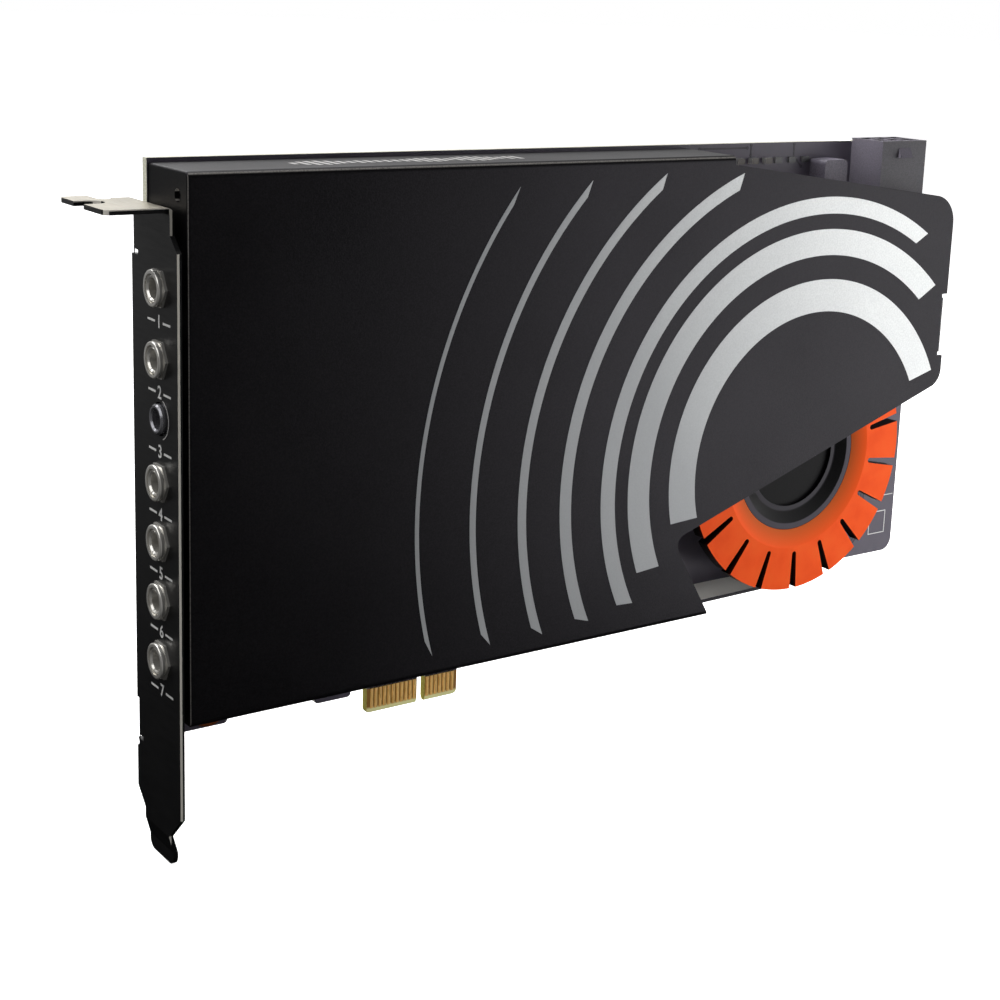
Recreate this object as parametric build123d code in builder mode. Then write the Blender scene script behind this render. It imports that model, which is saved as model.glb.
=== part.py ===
from build123d import *

import os

# Full-height expansion sound card: one board with a bracket, a folded shroud, seven jacks and a light ring.
# X runs from the bracket along the board, Y from the component side to the solder side, Z up.
# X is zero at the middle of the edge key, Y at the middle of the board, Z at the tips of the contacts.

# Board
board_thick = 1.6
board_left = -58.0
board_length = 192.0
card_height = 111.15
board_lower = 12.0
board_corner = 3.0
ear_width = 15.1
ear_bottom = 4.7
small_corner = 0.8
guide_width = 8.0
guide_gap = 3.7
guide_bottom = 4.5

# Edge contacts and the blocks that carry them
contact_pitch = 1.0
contact_width = 0.7
contact_length = 4.4
contact_low = 1.0
contact_thick = 0.05
long_count = 11
short_count = 7
key_width = 1.9
key_height = 7.9
key_margin = 0.55
end_margin = 1.1
bevel_height = 0.9
bevel_depth = 0.4

# Bracket
bracket_thick = 0.86
bracket_width = 18.42
bracket_length = 120.02
bracket_gap = 0.94
bracket_bend = 0.5
tab_below_top = 6.95
tab_depth = 12.2
tab_corner = 1.5
notch_width = 4.4
notch_depth = 4.5
notch_from_front = 13.7
tab_hook = 4.2
tab_hook_length = 5.0
tab_relief = 1.3
neck_cut = 2.7
neck_height = 4.7
shoulder_drop = 108.9
tongue_width = 10.19
back_step = 3.2
tongue_offset = 0.9
tongue_end = 2.6
tongue_slope = 3.4
tongue_corner = 1.8
lug_height = 8.0
lug_hole_reach = 11.3
lug_margin = 4.0
lug_share = 0.88
relief_radius = 0.75

# Screws
screw_shank = 1.45
screw_head = 2.8
screw_head_height = 1.8
screw_play = 0.15
thread_play = 0.05
standoff_radius = 2.5
standoff_thread = 6.0
carrier_screw_shank = 1.0
carrier_screw_head = 1.9
carrier_screw_head_height = 1.4
carrier_screw_depth = 3.5

# Jacks, at shares of the height between the shroud's walls; one is a smaller socket with no nut
nut_shares = (0.793, 0.667, 0.445, 0.335, 0.225, 0.112)
small_jack_share = 0.56
jack_height = 8.6
jack_bore = 1.8
barrel_radius = 2.5
barrel_reach = 1.3
small_barrel_radius = 2.7
small_barrel_reach = 0.9
barrel_seat = 2.5
barrel_lip = 0.3
barrel_play = 0.05
bracket_hole_play = 0.3
boss_radius = 4.0
boss_play = 0.4
housing_play = 0.4
housing_length = 12.1
housing_width = 9.0
housing_height = 13.4
housing_chamfer = 0.8
plug_play = 0.3
plug_end_wall = 1.4
spring_thick = 0.4
spring_width = 1.0
spring_play = 0.1
spring_first = 4.5
spring_pitch = 2.4
spring_count = 3
spring_tail = 1.2
tail_hole = 0.7
nut_corner_radius = 3.65
nut_flange = 0.5
nut_collar_radius = 3.25
nut_length = 1.5
nut_groove_width = 0.3
nut_groove_depth = 0.25
nut_lip = 0.3

# Shroud
sheet = 0.8
fold_radius = 1.2
end_round = 0.5
panel_depth = 15.9
shroud_inset = 0.2
top_inset = 0.8
lower_inset = 0.4
panel_inset = 5.3
top_wall_from_right = 71.6
step_at_top = 1.8
slope_at_right = 11.0
right_low = 44.9
right_low_radius = 4.0
right_high_radius = 6.5
claw_foot = 27.0
claw_throat = 37.9
claw_throat_height = 18.2
claw_throat_radius = 2.5
flange_reach = 9.2
flange_tip_reach = 8.0
flange_past_foot = 40.0
side_tab_low = 52.0
side_tab_height = 12.3
side_tab_reach = 8.0
side_tab_set_back = 0.4
side_tab_relief = 1.0
pilot_hole = 1.2
pilot_from_board = 12.0
pilot_drop = 4.3

# Light ring and the moulded carrier behind it
ring_radius = 30.4
ring_from_right = 44.8
ring_lift = 1.0
ring_stand = 12.6
ring_plate = 0.8
slot_count = 18
slot_first = -89.0
slot_root = 22.4
slot_root_width = 1.15
slot_rim_width = 2.1
cone_outer = 20.8
cone_inner = 16.8
cone_drop = 1.0
carrier_thick = 2.2
carrier_play = 0.1
lip_inner = 15.4
shelf_outer = 12.7
shelf_drop = 2.2
hub_radius = 11.7
hub_drop = 3.0
hub_floor = 1.6
post_radius = 2.6
post_ring_radius = 12.0
post_count = 3
lamp_count = 8
lamp_ring_radius = 18.8
lamp_window = 1.3
lamp_size = 2.8
lamp_height = 1.9

# Power header
header_width = 13.8
header_depth = 9.6
header_height = 12.8
header_above = 0.65
header_inset = 9.4
pocket_size = 3.4
pocket_depth = 9.0
pocket_corner = 0.5
pin_pitch = 4.2
pin_size = 1.1
pin_play = 0.1
pin_sink = 3.0
pin_bend = 0.9
pin_tail = 1.6
tail_drop = 2.0
latch_width = 3.6
latch_height = 2.2
latch_rise = 1.1
latch_from_mouth = 1.5

# Parts on the board
inductor_size = 6.8
inductor_height = 5.0
inductor_corner = 1.0
processor_size = 14.0
processor_height = 1.4
converter_size = 9.0
converter_height = 1.2
bridge_size = 10.0
bridge_height = 1.2
amplifier_size = 7.0
amplifier_height = 1.0
chip_chamfer = 0.25
pin_one_radius = 0.5
pin_one_depth = 0.15
op_amp_length = 4.9
op_amp_width = 3.9
op_amp_height = 1.6
op_amp_lead = 1.05
op_amp_lead_width = 0.42
op_amp_lead_thick = 0.25
op_amp_lead_pitch = 1.27
can_radius = 3.15
can_height = 7.6
can_base = 6.6
can_base_height = 1.1
can_base_corner = 1.2
can_pitch = 9.0
can_rim = 0.4
film_length = 7.2
film_width = 2.6
film_height = 6.5
film_corner = 0.3
film_pitch = 4.0
relay_length = 10.0
relay_width = 6.5
relay_height = 5.2
relay_pitch = 12.0
relay_corner = 0.4
crystal_length = 11.2
crystal_width = 4.6
crystal_height = 3.6
crystal_rim = 0.4
crystal_pitch = 8.0
regulator_length = 6.5
regulator_width = 3.5
regulator_height = 1.6
regulator_tab = 3.0
regulator_tab_thick = 0.3
regulator_lead = 1.6
regulator_lead_width = 0.7
regulator_pitch = 9.0
chip_part_length = 2.0
chip_part_width = 1.25
chip_resistor_height = 0.5
chip_capacitor_height = 1.2
chip_part_pitch = 4.0

# Places of the parts on the board: X, and height as a share of the space between the shroud's walls
inductor_from_right = 32.4
inductor_down = 7.0
processor_x = -5.0
processor_share = 0.51
converter_x = -22.0
converter_share = 0.51
bridge_x = 0.0
bridge_share = 0.16
amplifier_x = -22.0
amplifier_share = 0.735
op_amp_x = -36.0
op_amp_share = 0.19
op_amp_pitch = 9.0
can_x = 26.0
can_share = 0.82
film_x = -32.0
film_share = 0.55
relay_x = -15.0
relay_share = 0.9
crystal_x = 14.0
crystal_share = 0.45
regulator_x = 36.0
regulator_share = 0.61
resistor_x = 14.0
resistor_share = 0.16
capacitor_x = -15.0
capacitor_share = 0.3
gap_row_down = 3.8
gap_capacitors = 14.6
gap_resistors = 26.1
standoff_from_left = 22.0
standoff_from_top = 6.8
standoff_from_low = 7.6
standoff_from_wall_end = 7.0
standoff_from_foot = 10.0
standoff_from_right = 24.0
right_standoff_down = 26.8

# Planes, edges and centres worked out from the sizes above
board_front = -board_thick / 2
board_back = board_thick / 2
board_right = board_left + board_length
ear_right = board_left + ear_width
long_left = -key_width / 2 - key_margin - (long_count - 1) * contact_pitch - end_margin
short_right = key_width / 2 + key_margin + (short_count - 1) * contact_pitch + end_margin
guide_right = long_left - guide_gap
guide_left = guide_right - guide_width

shroud_left = board_left + shroud_inset
shroud_top = card_height - top_inset
shroud_low = board_lower + lower_inset


def height_at(share):
    """Height of a place on the card, as a share of the space between the shroud's walls."""
    return shroud_low + share * (shroud_top - shroud_low)


bracket_inner = board_left - bracket_gap
bracket_outer = bracket_inner - bracket_thick
bracket_back = board_back + bracket_thick
bracket_front = bracket_back - bracket_width
tab_top = card_height - tab_below_top
tab_end = bracket_inner - tab_depth
tongue_tip = tab_top - bracket_length
tongue_back = bracket_back - back_step
tongue_front = tongue_back - tongue_width
shoulder = tab_top - shoulder_drop
front_step = tongue_front - bracket_front
neck_front = bracket_front + neck_cut
lug_x = board_left + lug_hole_reach
lug_end = lug_x + lug_margin
lug_low_z = ear_bottom + lug_margin
lug_high_z = height_at(lug_share)
lug_heights = (lug_low_z, lug_high_z)

jack_y = board_front - jack_height
small_jack_z = height_at(small_jack_share)
nut_heights = [height_at(share) for share in nut_shares]
jack_heights = sorted((*nut_heights, small_jack_z), reverse=True)

panel_face = board_front - panel_depth
panel_back = panel_face + sheet
panel_right = board_right - panel_inset
top_wall_end = board_right - top_wall_from_right
ring_x = board_right - ring_from_right
ring_z = board_lower + ring_lift + ring_radius
ring_face = board_front - ring_stand
throat = (ring_x - claw_throat, shroud_low + claw_throat_height)
foot_x = ring_x - claw_foot
flange_end = foot_x + flange_past_foot
housing_front = shroud_left + sheet + housing_play
housing_back = housing_front + housing_length
standoff_spots = (
    (board_left + standoff_from_left, shroud_top - standoff_from_top),
    (board_left + standoff_from_left, shroud_low + standoff_from_low),
    (top_wall_end - standoff_from_wall_end, shroud_top - standoff_from_top),
    (foot_x - standoff_from_foot, shroud_low + standoff_from_low),
    (board_right - standoff_from_right, shroud_top - right_standoff_down),
)
spring_columns = [housing_front + spring_first + step * spring_pitch for step in range(spring_count)]
spring_places = [(x, z) for z in jack_heights for x in spring_columns]

header_right = board_right - header_inset
header_x = header_right - header_width / 2
header_y = board_front - header_depth / 2
header_mouth = card_height + header_above
header_base = header_mouth - header_height
pin_columns = [header_x + column * pin_pitch for column in (-1, 0, 1)]
pin_rows = [header_y + pin_pitch / 2, header_y - pin_pitch / 2]
tail_heights = [header_base - tail_drop, header_base - tail_drop - pin_pitch]


def face_at(y):
    """Plane facing the component side at the given depth, with X to the right and Z up."""
    return Plane.XZ.offset(-y)


def corners(sketch, *points):
    """Corners of a sketch nearest to the given points."""
    return [sketch.vertices().sort_by_distance((x, y, 0))[0] for x, y in points]


def panel_edge(x):
    """Height of the panel's sloping lower edge beside the light ring."""
    rise = (shroud_low + right_low - throat[1]) / (panel_right - throat[0])
    return throat[1] + rise * (x - throat[0])


def cut_ring_slots(face, depth):
    """Cut the tapered slots, open at the rim and round at the root, into the part being built."""
    slot_length = ring_radius - slot_root + slot_rim_width
    with BuildSketch(face_at(face)) as slots:
        with Locations((ring_x, ring_z)):
            with PolarLocations(slot_root, slot_count, start_angle=slot_first):
                Circle(slot_root_width / 2)
                Polygon(
                    (0, -slot_root_width / 2),
                    (slot_length, -slot_rim_width / 2),
                    (slot_length, slot_rim_width / 2),
                    (0, slot_root_width / 2),
                    align=None,
                )
    extrude(slots.sketch, amount=-depth, mode=Mode.SUBTRACT)


def pan_head_screws(spots, head_face, away, head, head_height, shank, shank_length):
    """Screws with their heads seated on a face; away is 1 if the heads stand toward the component side."""
    with BuildSketch(face_at(head_face)) as heads:
        with Locations(*spots):
            Circle(head)
    extrude(heads.sketch, amount=away * head_height)
    with BuildSketch(face_at(head_face)) as shanks:
        with Locations(*spots):
            Circle(shank)
    extrude(shanks.sketch, amount=-away * shank_length)


def chip_body(spots, length, width, height, edge):
    """Flat packages with a chamfered top edge and a dimple at the first terminal."""
    with BuildSketch(face_at(board_front)) as bodies:
        with Locations(*spots):
            Rectangle(length, width)
    extrude(bodies.sketch, amount=height)
    top = faces().filter_by(Axis.Y).group_by(Axis.Y)[0]
    chamfer(top.edges(), edge)
    with BuildSketch(face_at(board_front - height)) as dimples:
        inset = edge + 2 * pin_one_radius
        with Locations(*[(x - length / 2 + inset, z + width / 2 - inset) for x, z in spots]):
            Circle(pin_one_radius)
    extrude(dimples.sketch, amount=-pin_one_depth, mode=Mode.SUBTRACT)


def blocks(spots, length, width, height, corner):
    """Boxed parts standing on the board with rounded upright edges."""
    with BuildSketch(face_at(board_front)) as bases:
        with Locations(*spots):
            RectangleRounded(length, width, corner)
    extrude(bases.sketch, amount=height)


# Printed circuit board: ear at the lower left, guide tab, bevelled contact blocks and the key between them
with BuildPart() as pcb:
    with BuildSketch(face_at(board_back)) as outline:
        with BuildLine():
            Polyline(
                (board_left, card_height),
                (board_left, ear_bottom),
                (ear_right, ear_bottom),
                (ear_right, board_lower),
                (guide_left, board_lower),
                (guide_left, guide_bottom),
                (guide_right, guide_bottom),
                (guide_right, board_lower),
                (long_left, board_lower),
                (long_left, 0),
                (short_right, 0),
                (short_right, board_lower),
                (board_right, board_lower),
                (board_right, card_height),
                close=True,
            )
        make_face()
        fillet(corners(outline, (board_right, board_lower), (board_right, card_height)), board_corner)
        ear_and_guide = ((ear_right, ear_bottom), (guide_left, guide_bottom), (guide_right, guide_bottom))
        fillet(corners(outline, *ear_and_guide, (long_left, 0), (short_right, 0)), small_corner)
        SlotOverall(2 * key_height, key_width, rotation=90, mode=Mode.SUBTRACT)
        with Locations(*[(lug_x, z) for z in lug_heights], *standoff_spots):
            Circle(screw_shank + screw_play, mode=Mode.SUBTRACT)
        with Locations((ring_x, ring_z)):
            with PolarLocations(post_ring_radius, post_count, start_angle=90):
                Circle(carrier_screw_shank + screw_play, mode=Mode.SUBTRACT)
        with Locations(*spring_places):
            Circle(tail_hole, mode=Mode.SUBTRACT)
        with Locations(*[(x, z) for x in pin_columns for z in tail_heights]):
            Circle(pin_size, mode=Mode.SUBTRACT)
    extrude(amount=board_thick)
    with BuildSketch(Plane.YZ.offset(long_left)):
        for side in (-1, 1):
            with BuildLine():
                Polyline(
                    (side * board_thick / 2, 0),
                    (side * board_thick / 2, bevel_height),
                    (side * (board_thick / 2 - bevel_depth), 0),
                    close=True,
                )
            make_face()
    extrude(amount=short_right - long_left, mode=Mode.SUBTRACT)

# Gold contacts on both faces of the blocks
contact_columns = [-key_width / 2 - key_margin - step * contact_pitch for step in range(long_count)]
contact_columns += [key_width / 2 + key_margin + step * contact_pitch for step in range(short_count)]
with BuildPart() as edge_contacts:
    for face, outward in ((board_front, 1), (board_back, -1)):
        with BuildSketch(face_at(face)):
            with Locations(*[(x, contact_low + contact_length / 2) for x in contact_columns]):
                Rectangle(contact_width, contact_length)
        extrude(amount=outward * contact_thick)

# Bracket: one folded sheet with the chassis tab, a tapered tongue and two lugs behind the board
with BuildPart() as bracket:
    with BuildSketch(Plane.YZ.offset(tab_end)) as plate:
        with BuildLine():
            Polyline(
                (bracket_back, tab_top),
                (bracket_back, shoulder),
                (tongue_back, shoulder - back_step),
                (tongue_back, tongue_tip),
                (tongue_front, tongue_tip),
                (tongue_front, shoulder - front_step),
                (bracket_front, shoulder),
                (bracket_front, tab_top - neck_height - neck_cut),
                (neck_front, tab_top - neck_height),
                (neck_front, tab_top),
                close=True,
            )
        make_face()
        fillet(corners(plate, (tongue_back, tongue_tip), (tongue_front, tongue_tip)), tongue_corner)
        with Locations((bracket_back, lug_low_z - lug_height / 2 - relief_radius)):
            Circle(relief_radius, mode=Mode.SUBTRACT)
    extrude(amount=tab_depth + tongue_offset)
    with BuildSketch(Plane.XZ) as fold:
        with BuildLine():
            Polyline(
                (tab_end, tab_top),
                (bracket_inner, tab_top),
                (bracket_inner, tongue_tip + tongue_end + tongue_slope),
                (bracket_inner + tongue_offset, tongue_tip + tongue_end),
                (bracket_inner + tongue_offset, tongue_tip),
                (bracket_outer + tongue_offset, tongue_tip),
                (bracket_outer + tongue_offset, tongue_tip + tongue_end),
                (bracket_outer, tongue_tip + tongue_end + tongue_slope),
                (bracket_outer, tab_top - bracket_thick),
                (tab_end, tab_top - bracket_thick),
                close=True,
            )
        make_face()
        fillet(corners(fold, (bracket_inner, tab_top)), bracket_bend + bracket_thick)
        fillet(corners(fold, (bracket_outer, tab_top - bracket_thick)), bracket_bend)
    extrude(amount=bracket_width, both=True, mode=Mode.INTERSECT)
    with BuildSketch(Plane.XY.offset(tab_top - bracket_thick)):
        with Locations((tab_end, bracket_back)):
            Rectangle(tab_hook_length, tab_hook, align=Align.MIN)
    extrude(amount=bracket_thick)
    with BuildSketch(Plane.XY.offset(tab_top - bracket_thick)) as tab_cuts:
        with Locations((tab_end, bracket_front + notch_from_front)):
            SlotOverall(2 * notch_depth, notch_width)
        with Locations((tab_end + tab_hook_length + tab_relief, bracket_back)):
            Circle(tab_relief)
    extrude(amount=bracket_thick, mode=Mode.SUBTRACT)
    tab_edges = bracket.edges().filter_by(Axis.Z).group_by(Axis.X)[0].sort_by(Axis.Y)
    fillet([tab_edges[0], tab_edges[-1]], tab_corner)
    for z in lug_heights:
        with BuildSketch(Plane.XY.offset(z - lug_height / 2)) as lug:
            with Locations((bracket_outer, bracket_back)):
                Rectangle(lug_end - bracket_outer, 3 * bracket_thick, align=(Align.MIN, Align.MAX))
            with Locations((bracket_inner, board_back)):
                Rectangle(lug_end - bracket_inner, 3 * bracket_thick, align=(Align.MIN, Align.MAX),
                          mode=Mode.SUBTRACT)
            fillet(corners(lug, (bracket_outer, bracket_back)), bracket_bend + bracket_thick)
            fillet(corners(lug, (bracket_inner, board_back)), bracket_bend / 2)
        with Locations((bracket_outer, bracket_back, z)):
            Box(2 * bracket_thick, 2 * bracket_thick, lug_height, mode=Mode.SUBTRACT)
        extrude(lug.sketch, amount=lug_height)
    with BuildSketch(face_at(bracket_back)):
        with Locations(*[(lug_x, z) for z in lug_heights]):
            Circle(screw_shank + thread_play)
    extrude(amount=bracket_thick, mode=Mode.SUBTRACT)
    with BuildSketch(Plane.YZ.offset(bracket_outer)):
        with Locations(*[(jack_y, z) for z in nut_heights]):
            Circle(barrel_radius + bracket_hole_play)
        with Locations((jack_y, small_jack_z)):
            Circle(small_barrel_radius + bracket_hole_play)
    extrude(amount=bracket_thick, mode=Mode.SUBTRACT)

# Shroud: one folded sheet with the panel, top wall, left wall, bottom flange and a tab at the right
with BuildPart() as shroud:
    with BuildSketch(Plane.YZ.offset(shroud_left)) as channel:
        with Locations((board_front, shroud_low)):
            Rectangle(panel_depth, shroud_top - shroud_low, align=(Align.MAX, Align.MIN))
        with Locations((board_front, shroud_low + sheet)):
            Rectangle(panel_depth - sheet, shroud_top - shroud_low - 2 * sheet, align=(Align.MAX, Align.MIN),
                      mode=Mode.SUBTRACT)
        fillet(corners(channel, (panel_face, shroud_low), (panel_face, shroud_top)), fold_radius)
        fillet(corners(channel, (panel_back, shroud_low + sheet), (panel_back, shroud_top - sheet)),
               fold_radius - sheet)
    extrude(amount=top_wall_end - shroud_left)
    with BuildSketch(face_at(board_front - flange_tip_reach)) as claw:
        with BuildLine():
            Polyline(
                (foot_x, shroud_low - sheet),
                (foot_x, shroud_low),
                throat,
                (top_wall_end + sheet, panel_edge(top_wall_end + sheet)),
                (top_wall_end + sheet, shroud_low - sheet),
                close=True,
            )
        make_face()
        fillet(corners(claw, throat), claw_throat_radius)
    extrude(amount=panel_depth, mode=Mode.SUBTRACT)
    with BuildSketch(face_at(panel_back)) as wing:
        with BuildLine():
            Polyline(
                (top_wall_end - fold_radius, panel_edge(top_wall_end - fold_radius)),
                (panel_right, panel_edge(panel_right)),
                (panel_right, shroud_top - slope_at_right),
                (top_wall_end, shroud_top - step_at_top),
                (top_wall_end - fold_radius, shroud_top - fold_radius),
                close=True,
            )
        make_face()
        fillet(corners(wing, (panel_right, panel_edge(panel_right))), right_low_radius)
        fillet(corners(wing, (panel_right, shroud_top - slope_at_right)), right_high_radius)
        with Locations((panel_right, shroud_low + side_tab_low - side_tab_relief)):
            Rectangle(2 * (side_tab_set_back + fold_radius), side_tab_height + 2 * side_tab_relief,
                      align=(Align.CENTER, Align.MIN), mode=Mode.SUBTRACT)
    extrude(amount=sheet)
    with BuildSketch(Plane.XY.offset(shroud_low + side_tab_low)) as side_tab:
        tab_face = panel_right - side_tab_set_back
        with Locations((tab_face, panel_face)):
            Rectangle(2 * fold_radius + sheet, side_tab_reach, align=(Align.MAX, Align.MIN))
        with Locations((tab_face - sheet, panel_back)):
            Rectangle(2 * fold_radius, side_tab_reach, align=(Align.MAX, Align.MIN), mode=Mode.SUBTRACT)
        fillet(corners(side_tab, (tab_face, panel_face)), fold_radius)
        fillet(corners(side_tab, (tab_face - sheet, panel_back)), fold_radius - sheet)
    extrude(amount=side_tab_height)
    with BuildSketch(Plane.XY.offset(shroud_low)):
        with BuildLine():
            Polyline(
                (foot_x - fold_radius, board_front),
                (flange_end, board_front),
                (flange_end, board_front - flange_tip_reach),
                (foot_x, board_front - flange_reach),
                (foot_x - fold_radius, board_front - flange_reach),
                close=True,
            )
        make_face()
    extrude(amount=sheet)
    with BuildSketch(Plane.YZ.offset(shroud_left)) as left_wall:
        with Locations((board_front, shroud_low)):
            Rectangle(panel_depth, shroud_top - shroud_low, align=(Align.MAX, Align.MIN))
        fillet(corners(left_wall, (panel_face, shroud_low), (panel_face, shroud_top)), fold_radius)
    extrude(amount=sheet)
    end_edges = shroud.faces().sort_by(Axis.X)[0].outer_wire().edges().sort_by(Axis.Y)
    fillet(end_edges[:-1], end_round)
    with BuildSketch(Plane.YZ.offset(shroud_left)):
        with Locations(*[(jack_y, z) for z in jack_heights]):
            Circle(boss_radius + boss_play)
        with Locations((board_front - pilot_from_board, shroud_top - pilot_drop)):
            Circle(pilot_hole)
    extrude(amount=sheet, mode=Mode.SUBTRACT)

# Jack housings, barrels and contact springs
jack_nodes = {}
for number, z in enumerate(jack_heights, 1):
    radius = small_barrel_radius if z == small_jack_z else barrel_radius
    reach = small_barrel_reach if z == small_jack_z else barrel_reach

    with BuildPart() as jack_housing:
        with BuildSketch(face_at(board_front)):
            with Locations((housing_front, z)):
                Rectangle(housing_length, housing_width, align=(Align.MIN, Align.CENTER))
        extrude(amount=housing_height)
        chamfer(jack_housing.edges().filter_by(Axis.X).group_by(Axis.Y)[0], housing_chamfer)
        with BuildSketch(Plane.YZ.offset(bracket_inner)):
            with Locations((jack_y, z)):
                Circle(boss_radius)
        extrude(amount=housing_front - bracket_inner)
        with BuildSketch(Plane.YZ.offset(bracket_inner)):
            with Locations((jack_y, z)):
                Circle(radius + barrel_play)
        extrude(amount=housing_front - bracket_inner + barrel_seat, mode=Mode.SUBTRACT)
        with BuildSketch(Plane.YZ.offset(housing_front)):
            with Locations((jack_y, z)):
                Circle(jack_bore + plug_play)
        extrude(amount=housing_length - plug_end_wall, mode=Mode.SUBTRACT)
        with BuildSketch(face_at(board_front)):
            with Locations(*[(x, height) for x, height in spring_places if height == z]):
                Rectangle(spring_thick + 2 * spring_play, spring_width + 2 * spring_play)
        extrude(amount=jack_height, mode=Mode.SUBTRACT)

    with BuildPart() as jack_barrel:
        with BuildSketch(Plane.YZ.offset(bracket_outer - reach)):
            with Locations((jack_y, z)):
                Circle(radius)
                Circle(jack_bore, mode=Mode.SUBTRACT)
        extrude(amount=reach + housing_front + barrel_seat - bracket_outer)
        chamfer(jack_barrel.edges().filter_by(GeomType.CIRCLE).group_by(Axis.X)[0], barrel_lip)

    jack_nodes[f"jack_housing_{number}"] = jack_housing
    jack_nodes[f"jack_barrel_{number}"] = jack_barrel

with BuildPart() as jack_contacts:
    with BuildSketch(face_at(board_back + spring_tail)):
        with Locations(*spring_places):
            Rectangle(spring_thick, spring_width)
    extrude(amount=board_back + spring_tail - jack_y - jack_bore - spring_play)

# Flanged collar nuts that hold the six larger jacks to the bracket
with BuildPart() as jack_nuts:
    nut_places = [(jack_y, z) for z in nut_heights]
    with BuildSketch(Plane.YZ.offset(bracket_outer)):
        with Locations(*nut_places):
            RegularPolygon(nut_corner_radius, 6)
    extrude(amount=-nut_flange)
    with BuildSketch(Plane.YZ.offset(bracket_outer - nut_flange)):
        with Locations(*nut_places):
            Circle(nut_collar_radius)
    extrude(amount=nut_flange - nut_length)
    with BuildSketch(Plane.YZ.offset(bracket_outer - nut_flange)):
        with Locations(*nut_places):
            Circle(nut_collar_radius)
            Circle(nut_collar_radius - nut_groove_depth, mode=Mode.SUBTRACT)
    extrude(amount=-nut_groove_width, mode=Mode.SUBTRACT)
    fillet(jack_nuts.edges().filter_by(GeomType.CIRCLE).group_by(Axis.X)[0], nut_lip)
    with BuildSketch(Plane.YZ.offset(bracket_outer)):
        with Locations(*nut_places):
            Circle(barrel_radius + barrel_play)
    extrude(amount=-nut_length, mode=Mode.SUBTRACT)

# Orange light ring: flat slotted rim and a dished inner band
ring_axis = Axis((ring_x, 0, ring_z), (0, 1, 0))
with BuildPart() as light_ring:
    with BuildSketch(Plane.XY.offset(ring_z)):
        with BuildLine():
            Polyline(
                (ring_x + cone_inner, ring_face + cone_drop),
                (ring_x + cone_outer, ring_face),
                (ring_x + ring_radius, ring_face),
                (ring_x + ring_radius, ring_face + ring_plate),
                (ring_x + cone_outer, ring_face + ring_plate),
                (ring_x + cone_inner, ring_face + cone_drop + ring_plate),
                close=True,
            )
        make_face()
    revolve(axis=ring_axis)
    cut_ring_slots(ring_face, ring_plate)

# Black carrier: slotted rim under the ring, stepped bezel, hub and three posts that stand on the board
carrier_back = ring_face + hub_drop + hub_floor
with BuildPart() as light_carrier:
    with BuildSketch(Plane.XY.offset(ring_z)):
        with BuildLine():
            rim_back = ring_face + ring_plate + carrier_thick
            cone_seat = ring_plate + carrier_play
            Polyline(
                (ring_x, ring_face + hub_drop),
                (ring_x + hub_radius, ring_face + hub_drop),
                (ring_x + hub_radius, ring_face + shelf_drop),
                (ring_x + shelf_outer, ring_face + shelf_drop),
                (ring_x + lip_inner, ring_face + cone_drop),
                (ring_x + cone_inner - carrier_play, ring_face + cone_drop),
                (ring_x + cone_inner - carrier_play, ring_face + cone_drop + cone_seat),
                (ring_x + cone_outer, ring_face + cone_seat),
                (ring_x + cone_outer, ring_face + ring_plate),
                (ring_x + ring_radius, ring_face + ring_plate),
                (ring_x + ring_radius, rim_back),
                (ring_x + cone_outer, rim_back),
                (ring_x + cone_inner, carrier_back),
                (ring_x, carrier_back),
                close=True,
            )
        make_face()
    revolve(axis=ring_axis)
    cut_ring_slots(ring_face, ring_plate + carrier_thick)
    with BuildSketch(face_at(carrier_back)):
        with Locations((ring_x, ring_z)):
            with PolarLocations(lamp_ring_radius, lamp_count):
                Circle(lamp_window)
    extrude(amount=carrier_back - ring_face, mode=Mode.SUBTRACT)
    with BuildSketch(face_at(board_front)):
        with Locations((ring_x, ring_z)):
            with PolarLocations(post_ring_radius, post_count, start_angle=90):
                Circle(post_radius)
    extrude(amount=board_front - carrier_back)
    with BuildSketch(face_at(board_front)):
        with Locations((ring_x, ring_z)):
            with PolarLocations(post_ring_radius, post_count, start_angle=90):
                Circle(carrier_screw_shank + thread_play)
    extrude(amount=carrier_screw_depth, mode=Mode.SUBTRACT)

with BuildPart() as ring_lamps:
    with BuildSketch(face_at(board_front)):
        with Locations((ring_x, ring_z)):
            with PolarLocations(lamp_ring_radius, lamp_count):
                Rectangle(lamp_size, lamp_size)
    extrude(amount=lamp_height)

# Power header with six pockets that open upward, its latch ramp and the bent terminals
with BuildPart() as power_header:
    with BuildSketch(Plane.XY.offset(header_base)):
        with Locations((header_x, header_y)):
            Rectangle(header_width, header_depth)
    extrude(amount=header_height)
    with BuildSketch(Plane.XY.offset(header_mouth)) as pockets:
        with Locations((header_x, header_y)):
            with GridLocations(pin_pitch, pin_pitch, len(pin_columns), len(pin_rows)):
                Rectangle(pocket_size, pocket_size)
        fillet(pockets.vertices(), pocket_corner)
    extrude(amount=-pocket_depth, mode=Mode.SUBTRACT)
    with BuildSketch(Plane.XY.offset(header_base)):
        with Locations((header_x, header_y)):
            with GridLocations(pin_pitch, pin_pitch, len(pin_columns), len(pin_rows)):
                Rectangle(pin_size + 2 * pin_play, pin_size + 2 * pin_play)
    extrude(amount=header_height - pocket_depth, mode=Mode.SUBTRACT)
    with BuildSketch(Plane.YZ.offset(header_x - latch_width / 2)):
        with BuildLine():
            latch_low = header_mouth - latch_from_mouth - latch_height
            Polyline(
                (board_front - header_depth, latch_low),
                (board_front - header_depth - latch_rise, latch_low),
                (board_front - header_depth, latch_low + latch_height),
                close=True,
            )
        make_face()
    extrude(amount=latch_width)

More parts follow.
